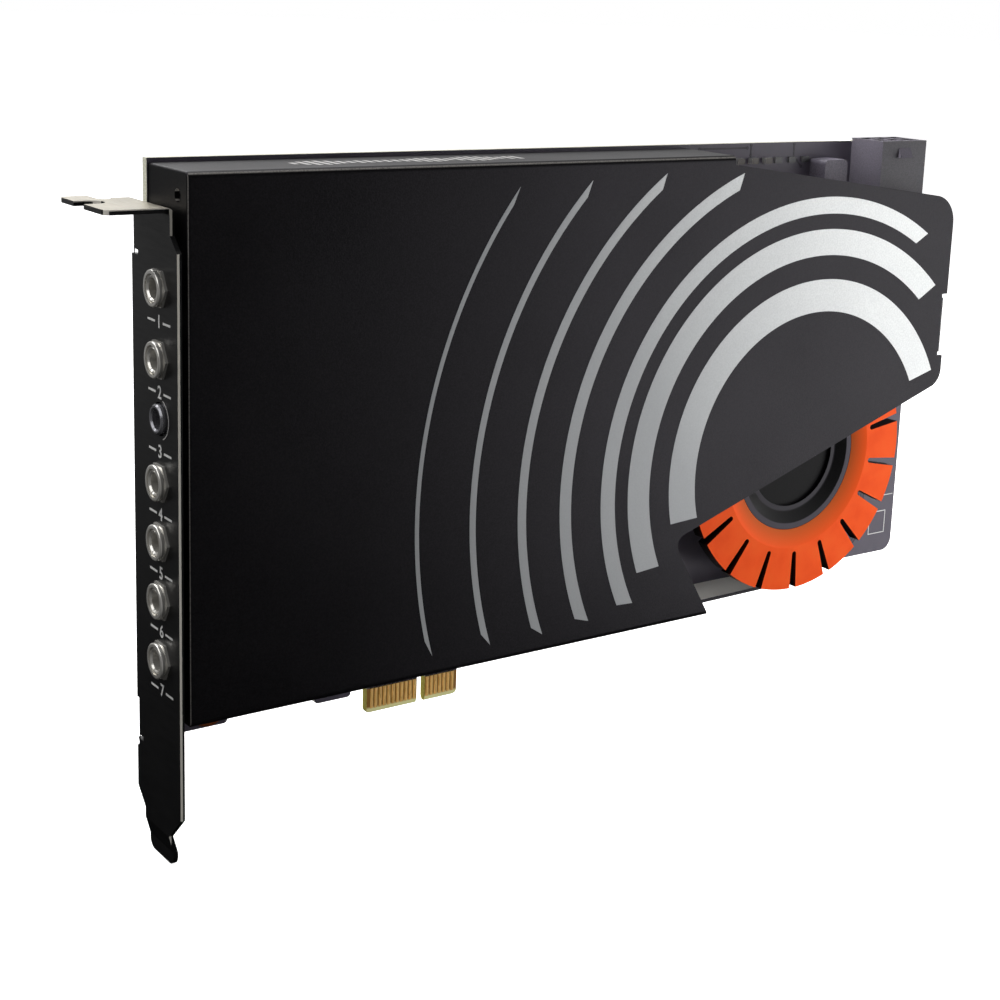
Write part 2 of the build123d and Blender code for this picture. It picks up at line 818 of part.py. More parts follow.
with BuildPart() as power_pins:
    for x in pin_columns:
        for y, tail_z in zip(pin_rows, tail_heights):
            with BuildLine(Plane.YZ.offset(x)) as pin_path:
                FilletPolyline(
                    (y, header_mouth - pin_sink),
                    (y, tail_z),
                    (board_back + pin_tail, tail_z),
                    radius=pin_bend,
                )
            with BuildSketch(Plane.XY.offset(header_mouth - pin_sink)):
                with Locations((x, y)):
                    Rectangle(pin_size, pin_size)
            sweep(path=pin_path.line)

# Parts soldered to the component side
with BuildPart() as power_inductor:
    inductor_spot = (board_right - inductor_from_right, card_height - inductor_down)
    blocks([inductor_spot], inductor_size, inductor_size, inductor_height, inductor_corner)

with BuildPart() as audio_processor:
    processor_spot = (processor_x, height_at(processor_share))
    chip_body([processor_spot], processor_size, processor_size, processor_height, chip_chamfer)

with BuildPart() as converter_chip:
    converter_spot = (converter_x, height_at(converter_share))
    chip_body([converter_spot], converter_size, converter_size, converter_height, chip_chamfer)

with BuildPart() as bridge_chip:
    bridge_spot = (bridge_x, height_at(bridge_share))
    chip_body([bridge_spot], bridge_size, bridge_size, bridge_height, chip_chamfer)

with BuildPart() as headphone_amplifier:
    amplifier_spot = (amplifier_x, height_at(amplifier_share))
    chip_body([amplifier_spot], amplifier_size, amplifier_size, amplifier_height, chip_chamfer)

op_amp_spots = [(op_amp_x + column * op_amp_pitch, height_at(op_amp_share) + row * op_amp_pitch)
                for column in range(2) for row in range(3)]
with BuildPart() as op_amps:
    chip_body(op_amp_spots, op_amp_width, op_amp_length, op_amp_height, chip_chamfer)
    with BuildSketch(face_at(board_front)):
        with Locations(*op_amp_spots):
            with GridLocations(op_amp_width + op_amp_lead, op_amp_lead_pitch, 2, 4):
                Rectangle(op_amp_lead, op_amp_lead_width)
    extrude(amount=op_amp_lead_thick)

with BuildPart() as electrolytic_capacitors:
    can_spots = [(can_x + column * can_pitch, height_at(can_share) + row * can_pitch / 2)
                 for column in (-2, -1, 0, 1, 2) for row in (-1, 1)]
    with BuildSketch(face_at(board_front)) as bases:
        with Locations(*can_spots):
            Rectangle(can_base, can_base)
        chamfer(bases.vertices(), can_base_corner)
    extrude(amount=can_base_height)
    with BuildSketch(face_at(board_front - can_base_height)):
        with Locations(*can_spots):
            Circle(can_radius)
    extrude(amount=can_height - can_base_height)
    fillet(electrolytic_capacitors.edges().filter_by(GeomType.CIRCLE).group_by(Axis.Y)[0], can_rim)

with BuildPart() as film_capacitors:
    film_spots = [(film_x, height_at(film_share) + step * film_pitch) for step in range(4)]
    blocks(film_spots, film_length, film_width, film_height, film_corner)

with BuildPart() as relays:
    relay_spots = [(relay_x + step * relay_pitch, height_at(relay_share)) for step in (-1, 0, 1)]
    blocks(relay_spots, relay_length, relay_width, relay_height, relay_corner)

with BuildPart() as crystals:
    crystal_spots = [(crystal_x, height_at(crystal_share) + step * crystal_pitch) for step in range(2)]
    blocks(crystal_spots, crystal_length, crystal_width, crystal_height, crystal_width / 2 - crystal_rim)

regulator_columns = [regulator_x + step * regulator_pitch for step in (-1, 0, 1)]
regulator_spots = [(x, height_at(regulator_share)) for x in regulator_columns]
with BuildPart() as regulators:
    chip_body(regulator_spots, regulator_length, regulator_width, regulator_height, chip_chamfer)
    with BuildSketch(face_at(board_front)):
        with Locations(*[(x, z + regulator_width / 2 + regulator_lead / 2) for x, z in regulator_spots]):
            Rectangle(regulator_tab, regulator_lead)
        with Locations(*[(x, z - regulator_width / 2 - regulator_lead / 2) for x, z in regulator_spots]):
            with GridLocations(regulator_length / 3, 1, 3, 1):
                Rectangle(regulator_lead_width, regulator_lead)
    extrude(amount=regulator_tab_thick)

with BuildPart() as chip_resistors:
    resistor_low = height_at(resistor_share)
    resistor_spots = [(resistor_x + column * chip_part_pitch, resistor_low + row * chip_part_pitch)
                      for column in range(5) for row in range(3)]
    gap_x = top_wall_end + gap_resistors
    resistor_spots += [(gap_x + column * chip_part_pitch, card_height - gap_row_down) for column in range(3)]
    with BuildSketch(face_at(board_front)):
        with Locations(*resistor_spots):
            Rectangle(chip_part_length, chip_part_width)
    extrude(amount=chip_resistor_height)

with BuildPart() as chip_capacitors:
    capacitor_low = height_at(capacitor_share)
    capacitor_spots = [(capacitor_x + column * chip_part_pitch, capacitor_low + row * chip_part_pitch)
                       for column in range(5) for row in range(2)]
    gap_x = top_wall_end + gap_capacitors
    capacitor_spots += [(gap_x + column * chip_part_pitch, card_height - gap_row_down) for column in range(3)]
    with BuildSketch(face_at(board_front)):
        with Locations(*capacitor_spots):
            Rectangle(chip_part_length, chip_part_width)
    extrude(amount=chip_capacitor_height)

# Fasteners: standoffs between board and panel, and the screws that enter from the board's faces
with BuildPart() as standoffs:
    with BuildSketch(face_at(board_front)):
        with Locations(*standoff_spots):
            Circle(standoff_radius)
    extrude(amount=board_front - panel_back)
    with BuildSketch(face_at(board_front)):
        with Locations(*standoff_spots):
            Circle(screw_shank + thread_play)
    extrude(amount=standoff_thread, mode=Mode.SUBTRACT)

with BuildPart() as shroud_screws:
    shank_reach = board_thick + standoff_thread - screw_play
    pan_head_screws(standoff_spots, board_back, -1, screw_head, screw_head_height, screw_shank, shank_reach)

with BuildPart() as bracket_screws:
    lug_spots = [(lug_x, z) for z in lug_heights]
    shank_reach = board_thick + bracket_thick
    pan_head_screws(lug_spots, board_front, 1, screw_head, screw_head_height, screw_shank, shank_reach)

with BuildPart() as carrier_screws:
    with Locations((ring_x, ring_z)):
        post_spots = [(place.position.X, place.position.Y)
                      for place in PolarLocations(post_ring_radius, post_count, start_angle=90).locations]
    shank_reach = board_thick + carrier_screw_depth - screw_play
    pan_head_screws(post_spots, board_back, -1, carrier_screw_head, carrier_screw_head_height,
                    carrier_screw_shank, shank_reach)

nodes = {
    "pcb": pcb,
    "edge_contacts": edge_contacts,
    "bracket": bracket,
    "shroud": shroud,
    **jack_nodes,
    "jack_contacts": jack_contacts,
    "jack_nuts": jack_nuts,
    "light_ring": light_ring,
    "light_carrier": light_carrier,
    "ring_lamps": ring_lamps,
    "power_header": power_header,
    "power_pins": power_pins,
    "power_inductor": power_inductor,
    "audio_processor": audio_processor,
    "converter_chip": converter_chip,
    "bridge_chip": bridge_chip,
    "headphone_amplifier": headphone_amplifier,
    "op_amps": op_amps,
    "electrolytic_capacitors": electrolytic_capacitors,
    "film_capacitors": film_capacitors,
    "relays": relays,
    "crystals": crystals,
    "regulators": regulators,
    "chip_resistors": chip_resistors,
    "chip_capacitors": chip_capacitors,
    "standoffs": standoffs,
    "shroud_screws": shroud_screws,
    "bracket_screws": bracket_screws,
    "carrier_screws": carrier_screws,
}

os.makedirs("parts", exist_ok=True)
for name, node in nodes.items():
    node.part.label = name
    export_step(node.part, f"parts/{name}.step")
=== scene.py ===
import math
import random

import bmesh
import bpy
from mathutils import Matrix, Quaternion, Vector
from mathutils.geometry import intersect_point_line


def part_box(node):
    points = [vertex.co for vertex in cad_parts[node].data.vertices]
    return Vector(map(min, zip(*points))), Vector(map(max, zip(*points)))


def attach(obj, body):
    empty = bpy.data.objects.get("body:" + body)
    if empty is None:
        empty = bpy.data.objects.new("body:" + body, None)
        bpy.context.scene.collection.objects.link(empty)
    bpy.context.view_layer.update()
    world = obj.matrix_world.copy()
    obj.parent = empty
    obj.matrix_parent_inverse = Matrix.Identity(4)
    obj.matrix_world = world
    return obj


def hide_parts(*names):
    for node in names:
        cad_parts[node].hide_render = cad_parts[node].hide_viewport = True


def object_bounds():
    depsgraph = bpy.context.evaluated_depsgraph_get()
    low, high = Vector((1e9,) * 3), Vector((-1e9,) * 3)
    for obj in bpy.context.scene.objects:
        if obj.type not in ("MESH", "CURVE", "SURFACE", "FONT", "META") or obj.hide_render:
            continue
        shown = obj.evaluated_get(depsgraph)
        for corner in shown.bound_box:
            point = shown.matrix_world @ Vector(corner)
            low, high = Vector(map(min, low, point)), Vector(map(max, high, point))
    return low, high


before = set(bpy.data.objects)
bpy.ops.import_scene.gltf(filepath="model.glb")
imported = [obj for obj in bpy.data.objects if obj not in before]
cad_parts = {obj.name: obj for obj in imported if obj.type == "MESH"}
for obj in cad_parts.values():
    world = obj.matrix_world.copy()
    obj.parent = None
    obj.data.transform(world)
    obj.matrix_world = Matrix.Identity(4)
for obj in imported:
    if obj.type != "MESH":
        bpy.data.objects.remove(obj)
cad_low, cad_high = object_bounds()
scene = bpy.context.scene

# Lengths below are in millimetres and angles in degrees, unless a heading says otherwise
mm = 0.001

# Camera of the photograph: place in metres, direction, and focal length in pixels of a 1000 pixel frame
camera_place = Vector((-186.9, -294.8, 142.6)) * mm
camera_azimuth = -36.37
camera_elevation = 12.79
camera_roll = 2.26
focal_pixels = 1828.0
frame_pixels = 1000.0
sensor_width = 36.0

# Shift of the camera's frame in shares of its width, and its near and far limit in metres
camera_shift = (-0.05, -0.1)
camera_near = 0.01
camera_far = 50.0

# Thickness of prints and of copper on the board, in metres
print_thick = 0.03 * mm
copper_thick = 0.04 * mm

# Sound waves printed on the panel: middle radius, width, first and last angle
wave_bands = (
    (36.5, 7.0, 25.0, 195.0),
    (48.0, 5.6, 46.0, 203.0),
    (55.9, 3.6, 57.0, 207.0),
    (66.5, 2.8, 111.0, 204.0),
    (77.0, 2.0, 125.0, 201.0),
    (88.5, 1.4, 135.0, 198.0),
    (101.0, 0.9, 142.0, 195.5),
)
wave_slant = 2.0
wave_step = 1.5

# Painted light and shade on the silver ink: places along the board where it is painted darkest and palest,
# and its lean with height
painted_shade_end = 80.0
painted_light_end = 150.0
painted_light_lean = 0.6

# Level bars printed on the top wall; their reach swings between a least share and the whole
bar_count = 26
bar_first_x = -34.0
bar_pitch = 1.9
bar_width = 1.0
bar_reach = 3.6
bar_least = 0.35
bar_swing = 0.55
bar_drift = 0.17

# Numbers under the jacks, and the arc printed round the small jack
jacks = range(1, 8)
number_size = 3.2
number_swell = 0.05
number_drop = 5.9
number_rule = 3.0
number_rule_gap = 1.6
number_rule_width = 0.4
jack_arc_radius = 3.5
jack_arc_width = 0.2
jack_arc_half = 70
jack_arc_step = 5

# Radii of the light ring's dished band and of the carrier's bezel and shelf
dish_inner = 16.8
dish_outer = 20.8
bezel_inner = 15.4
shelf_outer = 12.7
shelf_inner = 11.7

# Lengths over which one tone passes into the next: at the dish, at the carrier's edges and round its steps
dish_blur = 0.2
edge_blur = 0.1
bezel_fade = 0.5
shelf_fade = 0.3

# Screws: the head's outline and the cross recess, as shares of the head's radius and height
head_profile = (
    (0.95, 0.0),
    (1.0, 0.1),
    (1.0, 0.4),
    (0.95, 0.66),
    (0.8, 0.87),
    (0.5, 0.98),
    (0.0, 1.0),
)
head_sides = 40
head_crease = 32.0
recess_length = 1.15
recess_width = 0.24
recess_depth = 0.6
recess_taper = 0.55
recess_start = 1.1

# Screws: the shank as a share of the head's radius, its tip as shares of the shank's radius
shank_share = 0.52
tip_radius = 0.8
tip_length = 0.4

# Contact fingers: bare height, the mask's edge, pitch, and the distances from a side where they brighten
finger_top = 5.2
finger_mask_edge = 0.1
finger_pitch = 1.0
finger_dark = 0.15
finger_bright = 0.4

# Contact blocks: heights of the bevel, and the margin beside the first finger
bevel_start = 0.8
bevel_end = 1.4
block_margin = 3.0

# Bare metal on the bracket: the tab's top, and lines along the cut edges that are painted near white as
# highlights
tab_depth = 2.2
edge_start = 0.1
bare_edge_highlight = 0.45
bare_tab_highlight = 0.2

# Solder: its outline as shares of the foot's radius
solder_profile = (
    (0.0, 0.0),
    (1.0, 0.0),
    (0.88, 0.1),
    (0.66, 0.32),
    (0.52, 0.6),
    (0.45, 0.8),
    (0.0, 0.84),
)
solder_sides = 24
solder_crease = 50.0
solder_radius = 1.2
pin_solder_radius = 1.6

# Pads under the screw heads: bare from this share of the head's radius to a margin outside it
pad_inner = 0.8
ear_pad_margin = 1.1
back_pad_margin = 0.55
pad_sides = 32

# Tracks: line along and up the board, count and pitch; the least cosine keeps sharp corners short
least_cosine = 0.3
track_width = 0.3
front_track_width = 0.4
power_track_width = 1.4
back_buses = (
    (((-6, 9), (-6, 18), (-2, 22), (-2, 30)), 8, 0.8),
    (((4, 9), (4, 18), (13, 27), (62, 27), (70, 35)), 4, 0.9),
    (((3, 33), (3, 44), (-4, 51), (-4, 58)), 9, 0.7),
    (((-10, 66), (-17, 66), (-22, 61), (-22, 52), (-28, 46)), 6, 0.7),
    (((-27, 74), (-34, 74), (-41, 81), (-41, 92)), 4, 0.8),
    (((-26, 60), (-33, 60), (-40, 53)), 4, 0.8),
    (((-28, 26), (-34, 32), (-41, 32)), 5, 0.7),
    (((-30, 98), (30, 98), (38, 90), (92, 90), (98, 84)), 5, 0.9),
    (((100, 18), (118, 18), (124, 24), (124, 60), (116, 68)), 4, 0.8),
    (((-55, 28), (-55, 90)), 2, 0.8),
    (((14, 50), (24, 60), (24, 78), (30, 84)), 6, 0.7),
)
power_buses = (
    (((118, 88), (118, 80), (110, 72), (60, 72), (52, 80), (44, 80)), 3, 2.2),
    (((40, 62), (50, 52), (66, 52)), 2, 2.4),
)
front_buses = (
    (((100, 14.6), (119, 14.6), (122.6, 18.2), (122.6, 50)), 3, 0.8),
    (((66, 110.1), (79.5, 110.1)), 1, 0.8),
    (((80.6, 110.7), (80.6, 108.5)), 1, 0.8),
    (((93.2, 110.7), (93.2, 108.2), (95.6, 105.8)), 1, 0.8),
    (((72, 103.5), (88, 103.5)), 2, 0.9),
)

# Vias: radii, height in thicknesses of the copper, and the room that the scattered ones keep
via_outer = 0.36
via_inner = 0.17
via_rise = 1.5
via_sides = 12
via_scatter = 130
via_seed = 7
via_gap = 1.5
via_off_edge = 6.0
via_off_foot = 16.0
via_off_screw = 4.2
via_off_solder = 4.0
via_off_print = 0.8

# White outlines on the board: round the jacks' tails, the header's tails and the carrier's screws
legend_width = 0.2
legend_beside_tails = 2.0
legend_over_tails = 3.0
legend_header_height = 9.0
legend_ring_margin = 5.0
legend_ring_sides = 96

# White mark near the board's lower right corner: a rectangle and a rule above it
mark_from_right = 7.8
mark_above_shroud = 4.4
mark_width = 5.0
mark_height = 5.2
mark_rule_up = 9.2
mark_rule_from_right = 0.6

# Floor: half its side, and its drop below the card
floor_reach = 6000.0
floor_drop = 0.2

# Aims of two lights: above the header, and in from the card's right end
header_aim = 6.0
right_aim = 40.0

# Finishes: values that noise takes over most of a surface, and white
noise_low = 0.3
noise_high = 0.7
white = (1.0, 1.0, 1.0, 1.0)

# Moulded surfaces: size of a patch in grains, and how far the roughness swings
patch_grains = 40
moulded_swing = 0.07

# Bare metal: size of its stains, depth of its tool lines, and how far the roughness falls and rises
stain_size = 4.0
line_depth = 0.004
metal_fall = 0.05
metal_rise = 0.08

# Chip parts: grain, its depth, the lighter tone of the body, and how far the roughness swings
chip_grain = 0.2
chip_depth = 0.008
chip_lighter = 1.25
chip_swing = 0.06

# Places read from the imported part
board_low, board_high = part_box("pcb")
shroud_low, shroud_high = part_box("shroud")
lamp_low, lamp_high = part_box("ring_lamps")
header_low, header_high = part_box("power_header")
bracket_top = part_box("bracket")[1].z
first_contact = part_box("edge_contacts")[0].x
bracket_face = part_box("jack_nuts")[1].x
board_front = board_low.y
board_back = board_high.y
panel_face = shroud_low.y
top_face = shroud_high.z
ring_x = (lamp_low.x + lamp_high.x) / 2
ring_z = (lamp_low.z + lamp_high.z) / 2


def srgb(red, green, blue):
    """Linear colour from 8-bit display values."""
    def linear(value):
        share = value / 255
        return share / 12.92 if share <= 0.04045 else ((share + 0.055) / 1.055) ** 2.4
    return (linear(red), linear(green), linear(blue), 1.0)


class Nodes:
    """A node tree and the helpers that add nodes to it."""

    def __init__(self, tree):
        self.tree = tree

    def put(self, socket, value):
        if isinstance(value, bpy.types.NodeSocket):
            self.tree.links.new(value, socket)
        else:
            socket.default_value = value

    def add(self, kind, inputs=None, **settings):
        node = self.tree.nodes.new(kind)
        for name, value in settings.items():
            setattr(node, name, value)
        for socket, value in (inputs or {}).items():
            self.put(node.inputs[socket], value)
        return node

    def calc(self, operation, *values):
        """A sum, product or other result of two or more values, or of one."""
        result = values[0]
        for value in values[1:] or (0.0,):
            result = self.add("ShaderNodeMath", {0: result, 1: value}, operation=operation).outputs[0]
        return result

    def above(self, value, limit):
        return self.calc("GREATER_THAN", value, limit)

    def below(self, value, limit):
        return self.calc("LESS_THAN", value, limit)

    def both(self, *values):
        return self.calc("MULTIPLY", *values)

    def either(self, *values):
        return self.calc("MAXIMUM", *values)

    def split(self, vector):
        return self.add("ShaderNodeSeparateXYZ", {0: vector}).outputs[:]

    def between(self, value, low, high, first=0.0, last=1.0):
        inputs = {"Value": value, "From Min": low, "From Max": high, "To Min": first, "To Max": last}
        return self.add("ShaderNodeMapRange", inputs).outputs["Result"]


class Finish(Nodes):
    """A procedural material with a principled shader; sizes of grain and depths are in millimetres."""

    def __init__(self, name, values=None):
        self.material = bpy.data.materials.new(name)
        self.material.use_nodes = True
        super().__init__(self.material.node_tree)
        self.shader = self.tree.nodes["Principled BSDF"]
        self.place = self.add("ShaderNodeTexCoord").outputs["Object"]
        for socket, value in (values or {}).items():
            self.set(socket, value)

    def set(self, socket, value):
        self.put(self.shader.inputs[socket], value)

    def facing(self):
        return self.split(self.add("ShaderNodeNewGeometry").outputs["Normal"])

    def noise(self, size, detail=2.0, stretch=(1.0, 1.0, 1.0)):
        place = self.add("ShaderNodeVectorMath", {0: self.place, 1: stretch}, operation="MULTIPLY").outputs[0]
        inputs = {"Vector": place, "Scale": 1 / (size * mm), "Detail": detail}
        return self.add("ShaderNodeTexNoise", inputs).outputs["Fac"]

    def mix(self, share, first, second):
        node = self.add("ShaderNodeMix", data_type="RGBA")
        self.put(node.inputs[0], share)
        self.put(node.inputs[6], first)
        self.put(node.inputs[7], second)
        return node.outputs[2]

    def vary(self, noise, first, last):
        """A number that follows a noise from a first to a last value."""
        return self.between(noise, noise_low, noise_high, first, last)

    def mottle(self, noise, dark, light):
        """A colour that follows a noise."""
        return self.mix(self.vary(noise, 0.0, 1.0), dark, light)

    def relief(self, height, depth):
        bump = self.add("ShaderNodeBump", {"Height": height, "Distance": depth * mm})
        self.set("Normal", bump.outputs["Normal"])

    def within(self, reach, low, high):
        """One up to a low radius and nothing past a high one."""
        return self.between(reach, low * mm, high * mm, 1.0, 0.0)

    def radius(self, centre_x, centre_z):
        x, _, z = self.split(self.place)
        across = self.calc("POWER", self.calc("SUBTRACT", x, centre_x), 2.0)
        up = self.calc("POWER", self.calc("SUBTRACT", z, centre_z), 2.0)
        return self.calc("SQRT", self.calc("ADD", across, up))


def grained(name, dark, light, roughness, grain, depth, values=None):
    """A moulded or coated surface with fine grain in its colour, gloss and relief."""
    finish = Finish(name, values)
    fine = finish.noise(grain, 3.0)
    patches = finish.noise(patch_grains * grain, 3.0)
    finish.set("Base Color", finish.mottle(fine, srgb(*dark), srgb(*light)))
    finish.set("Roughness", finish.vary(patches, roughness - moulded_swing, roughness + moulded_swing))
    finish.relief(fine, depth)
    return finish


def turned(name, dark, light, roughness, line, stretch, metal=1.0):
    """Bare metal with fine tool lines."""
    finish = Finish(name, {"Metallic": metal})
    lines = finish.noise(line, 2.0, stretch)
    stains = finish.noise(stain_size, 3.0)
    finish.set("Base Color", finish.mottle(stains, srgb(*dark), srgb(*light)))
    finish.set("Roughness", finish.vary(lines, roughness - metal_fall, roughness + metal_rise))
    finish.relief(lines, line_depth)
    return finish


def capped(name, body, cap, cap_metal, roughness):
    """Small chip parts with tinned sides."""
    finish = Finish(name)
    _, ny, _ = finish.facing()
    grain = finish.noise(chip_grain, 3.0)
    top = finish.below(ny, -0.5)
    dark = srgb(*body)
    light = tuple(chip_lighter * value for value in dark[:3]) + (1.0,)
    finish.set("Base Color", finish.mix(top, srgb(*cap), finish.mottle(grain, dark, light)))
    finish.set("Metallic", finish.between(top, 0.0, 1.0, cap_metal, 0.0))
    finish.set("Roughness", finish.vary(grain, roughness - chip_swing, roughness + chip_swing))
    finish.relief(grain, chip_depth)
    return finish


def shroud_coat():
    """Fine black powder coat outside, with painted shade on the outer face of the left wall and a painted
    highlight along the front folds, and plain zinc on the inner faces.
    """
    finish = Finish("shroud_coat", {"Specular IOR Level": 0.15, "Specular Tint": (0.93, 0.87, 1.0, 1.0)})
    x, _, z = finish.split(finish.place)
    nx, ny, nz = finish.facing()
    half_way = (shroud_low.z + shroud_high.z) / 2
    floor_face = finish.both(finish.above(nz, 0.5), finish.below(z, half_way))
    roof_face = finish.both(finish.below(nz, -0.5), finish.above(z, half_way))
    side_face = finish.both(finish.above(nx, 0.5), finish.below(x, 0.0))
    inner = finish.either(finish.above(ny, 0.5), floor_face, roof_face, side_face)
    sand = finish.noise(0.3, 3.0)
    smears = finish.noise(22.0, 4.0)
    grain = finish.mix(finish.between(sand, 0.35, 0.7), srgb(9, 9, 10), srgb(23, 22, 24))
    # Painted shade: the outer face of the left wall is made near black
    painted_side_shade = finish.between(nx, -0.97, -0.9, 1.0, 0.0)
    powder = finish.mix(painted_side_shade, grain, srgb(2, 2, 3))
    # Painted highlight: a pale line along the folds at the front's left and top edges, broken up by the sand
    # grain
    front_lean = finish.between(ny, -0.5, -0.7)
    side_lean = finish.either(finish.between(nx, -0.5, -0.7), finish.between(nz, 0.5, 0.7))
    fold_highlight_grain = finish.between(sand, 0.3, 0.6, 0.5, 1.0)
    coat = finish.mix(finish.both(front_lean, side_lean, fold_highlight_grain), powder, srgb(150, 147, 143))
    zinc = finish.mottle(smears, srgb(196, 194, 190), srgb(218, 216, 212))
    finish.set("Base Color", finish.mix(inner, coat, zinc))
    finish.set("Metallic", finish.both(inner, 0.1))
    finish.set("Roughness", finish.vary(smears, 0.37, 0.45))
    finish.relief(sand, 0.02)
    return finish


def silver_print():
    """Silver ink with fine flakes, with painted light and shade grading it from dark at the left to pale at
    the upper right.
    """
    finish = Finish("silver_print", {"Metallic": 0.2})
    flakes = finish.noise(0.35, 3.0)
    wash = finish.noise(30.0, 3.0)
    x, _, z = finish.split(finish.place)
    # Painted light and shade: the ink darkens from the upper right toward the left
    along = finish.calc("ADD", x, finish.both(z, painted_light_lean))
    painted_light_grading = finish.between(along, painted_shade_end * mm, painted_light_end * mm)
    pale = finish.mottle(wash, srgb(220, 222, 222), srgb(232, 234, 233))
    ink = finish.mix(painted_light_grading, srgb(162, 164, 166), pale)
    glint = finish.between(flakes, 0.3, 0.75, 0.0, 0.3)
    finish.set("Base Color", finish.mix(glint, ink, srgb(150, 152, 154)))
    finish.set("Roughness", finish.vary(flakes, 0.42, 0.56))
    finish.relief(flakes, 0.01)
    return finish


def bracket_coat():
    """Satin black on the outer side of the sheet, warm nickel inside, and bare lines along the cut edges
    painted near white as highlights.
    """
    finish = Finish("bracket_coat", {"Specular IOR Level": 0.4})
    x, _, z = finish.split(finish.place)
    nx, ny, nz = finish.facing()
    tab_top = finish.both(finish.above(z, bracket_top - tab_depth * mm), finish.above(nz, 0.3))
    inner = finish.above(nx, 0.3)
    edge = finish.both(finish.below(ny, -0.4), finish.below(finish.calc("ABSOLUTE", nz), 0.35))
    past_start = finish.above(x, bracket_face - edge_start * mm)
    outer_bare_highlight = finish.both(past_start, finish.below(x, bracket_face + bare_edge_highlight * mm))
    upper_bare_highlight = finish.above(z, bracket_top - bare_tab_highlight * mm)
    corner = finish.below(nx, -0.45)
    line = finish.both(edge, finish.either(outer_bare_highlight, upper_bare_highlight, corner))
    bare = finish.either(tab_top, inner, line)
    brushed = finish.noise(0.5, 3.0, (1.0, 0.1, 1.0))
    patches = finish.noise(9.0, 3.0)
    paint = finish.mottle(patches, srgb(13, 13, 14), srgb(19, 19, 20))
    nickel = finish.mottle(patches, srgb(166, 160, 146), srgb(188, 182, 168))
    # Painted highlight: the bare lines along the cut edges are near white and less metallic, paler than the
    # nickel
    metal = finish.mix(line, nickel, srgb(246, 241, 230))
    finish.set("Base Color", finish.mix(bare, paint, metal))
    finish.set("Metallic", finish.both(bare, finish.between(line, 0.0, 1.0, 0.9, 0.2)))
    finish.set("Roughness", finish.vary(brushed, 0.28, 0.38))
    finish.relief(brushed, 0.004)
    return finish


def board_mask():
    """Dark solder mask on the faces, pale laminate at the cut edges, bare laminate on the contact blocks."""
    finish = Finish("board_mask", {"Specular IOR Level": 0.2})
    x, _, z = finish.split(finish.place)
    _, ny, _ = finish.facing()
    edge = finish.below(finish.calc("ABSOLUTE", ny), 0.75)
    below_mask = finish.below(z, finger_top * mm)
    block = finish.both(below_mask, finish.above(x, first_contact - block_margin * mm))
    weave = finish.noise(0.45, 2.0)
    pools = finish.noise(6.0, 3.0)
    bevel = finish.between(z, bevel_start * mm, bevel_end * mm)
    mask = finish.mottle(pools, srgb(80, 76, 87), srgb(90, 85, 97))
    bare = finish.mix(bevel, srgb(255, 250, 182), srgb(148, 106, 52))
    laminate = finish.mottle(weave, srgb(205, 204, 180), srgb(238, 238, 226))
    gilded = finish.mottle(weave, srgb(196, 182, 84), srgb(224, 214, 122))
    face = finish.mix(block, mask, bare)
    rim = finish.mix(block, laminate, gilded)
    finish.set("Base Color", finish.mix(edge, face, rim))
    finish.set("Roughness", finish.vary(pools, 0.34, 0.46))
    finish.relief(weave, 0.01)
    return finish


def contact_gold():
    """Gold fingers, brighter along their middles, with solder mask over their upper ends."""
    finish = Finish("contact_gold")
    x, _, z = finish.split(finish.place)
    masked = finish.between(z, (finger_top - finger_mask_edge) * mm, finger_top * mm)
    across = finish.calc("PINGPONG", finish.calc("SUBTRACT", x, first_contact), finger_pitch / 2 * mm)
    middle = finish.between(across, finger_dark * mm, finger_bright * mm)
    wear = finish.noise(0.4, 3.0, (1.0, 1.0, 0.15))
    plate = finish.mottle(wear, srgb(226, 164, 82), srgb(244, 190, 104))
    gold = finish.mix(finish.both(middle, 0.5), plate, srgb(255, 222, 148))
    finish.set("Base Color", finish.mix(masked, gold, srgb(26, 26, 30)))
    finish.set("Metallic", finish.between(masked, 0.0, 1.0, 0.2, 0.0))
    finish.set("Roughness", finish.vary(wear, 0.22, 0.34))
    finish.relief(wear, 0.004)
    return finish


def orange_plate():
    """Orange diffuser: bright on the slotted rim, with painted shade on the dished band, dark walls."""
    finish = Finish("orange_plate", {"Specular IOR Level": 0.05, "Emission Strength": 0.05})
    _, _, z = finish.split(finish.place)
    _, ny, _ = finish.facing()
    reach = finish.radius(ring_x, ring_z)
    wall = finish.above(ny, -0.4)
    dish = finish.within(reach, dish_outer - dish_blur, dish_outer + dish_blur)
    cloud = finish.noise(5.0, 3.0)
    grain = finish.noise(0.25, 2.0)
    rim = finish.mottle(cloud, srgb(244, 82, 26), srgb(254, 96, 36))
    # Painted shade: the dished band darkens toward its inner edge, and more in its upper half than at its
    # bottom; the faint glow carries it too
    less_shade_below = finish.between(z, ring_z - dish_outer * mm, ring_z, 1.0, 0.0)
    inner_painted_shade = finish.mix(less_shade_below, srgb(168, 78, 30), srgb(206, 92, 32))
    outward = finish.between(reach, dish_inner * mm, dish_outer * mm)
    dish_painted_shade = finish.mix(outward, inner_painted_shade, srgb(248, 90, 28))
    shade = finish.mix(wall, finish.mix(dish, rim, dish_painted_shade), srgb(52, 16, 8))
    finish.set("Base Color", shade)
    finish.set("Emission Color", shade)
    finish.set("Roughness", finish.vary(grain, 0.4, 0.52))
    finish.relief(grain, 0.006)
    return finish


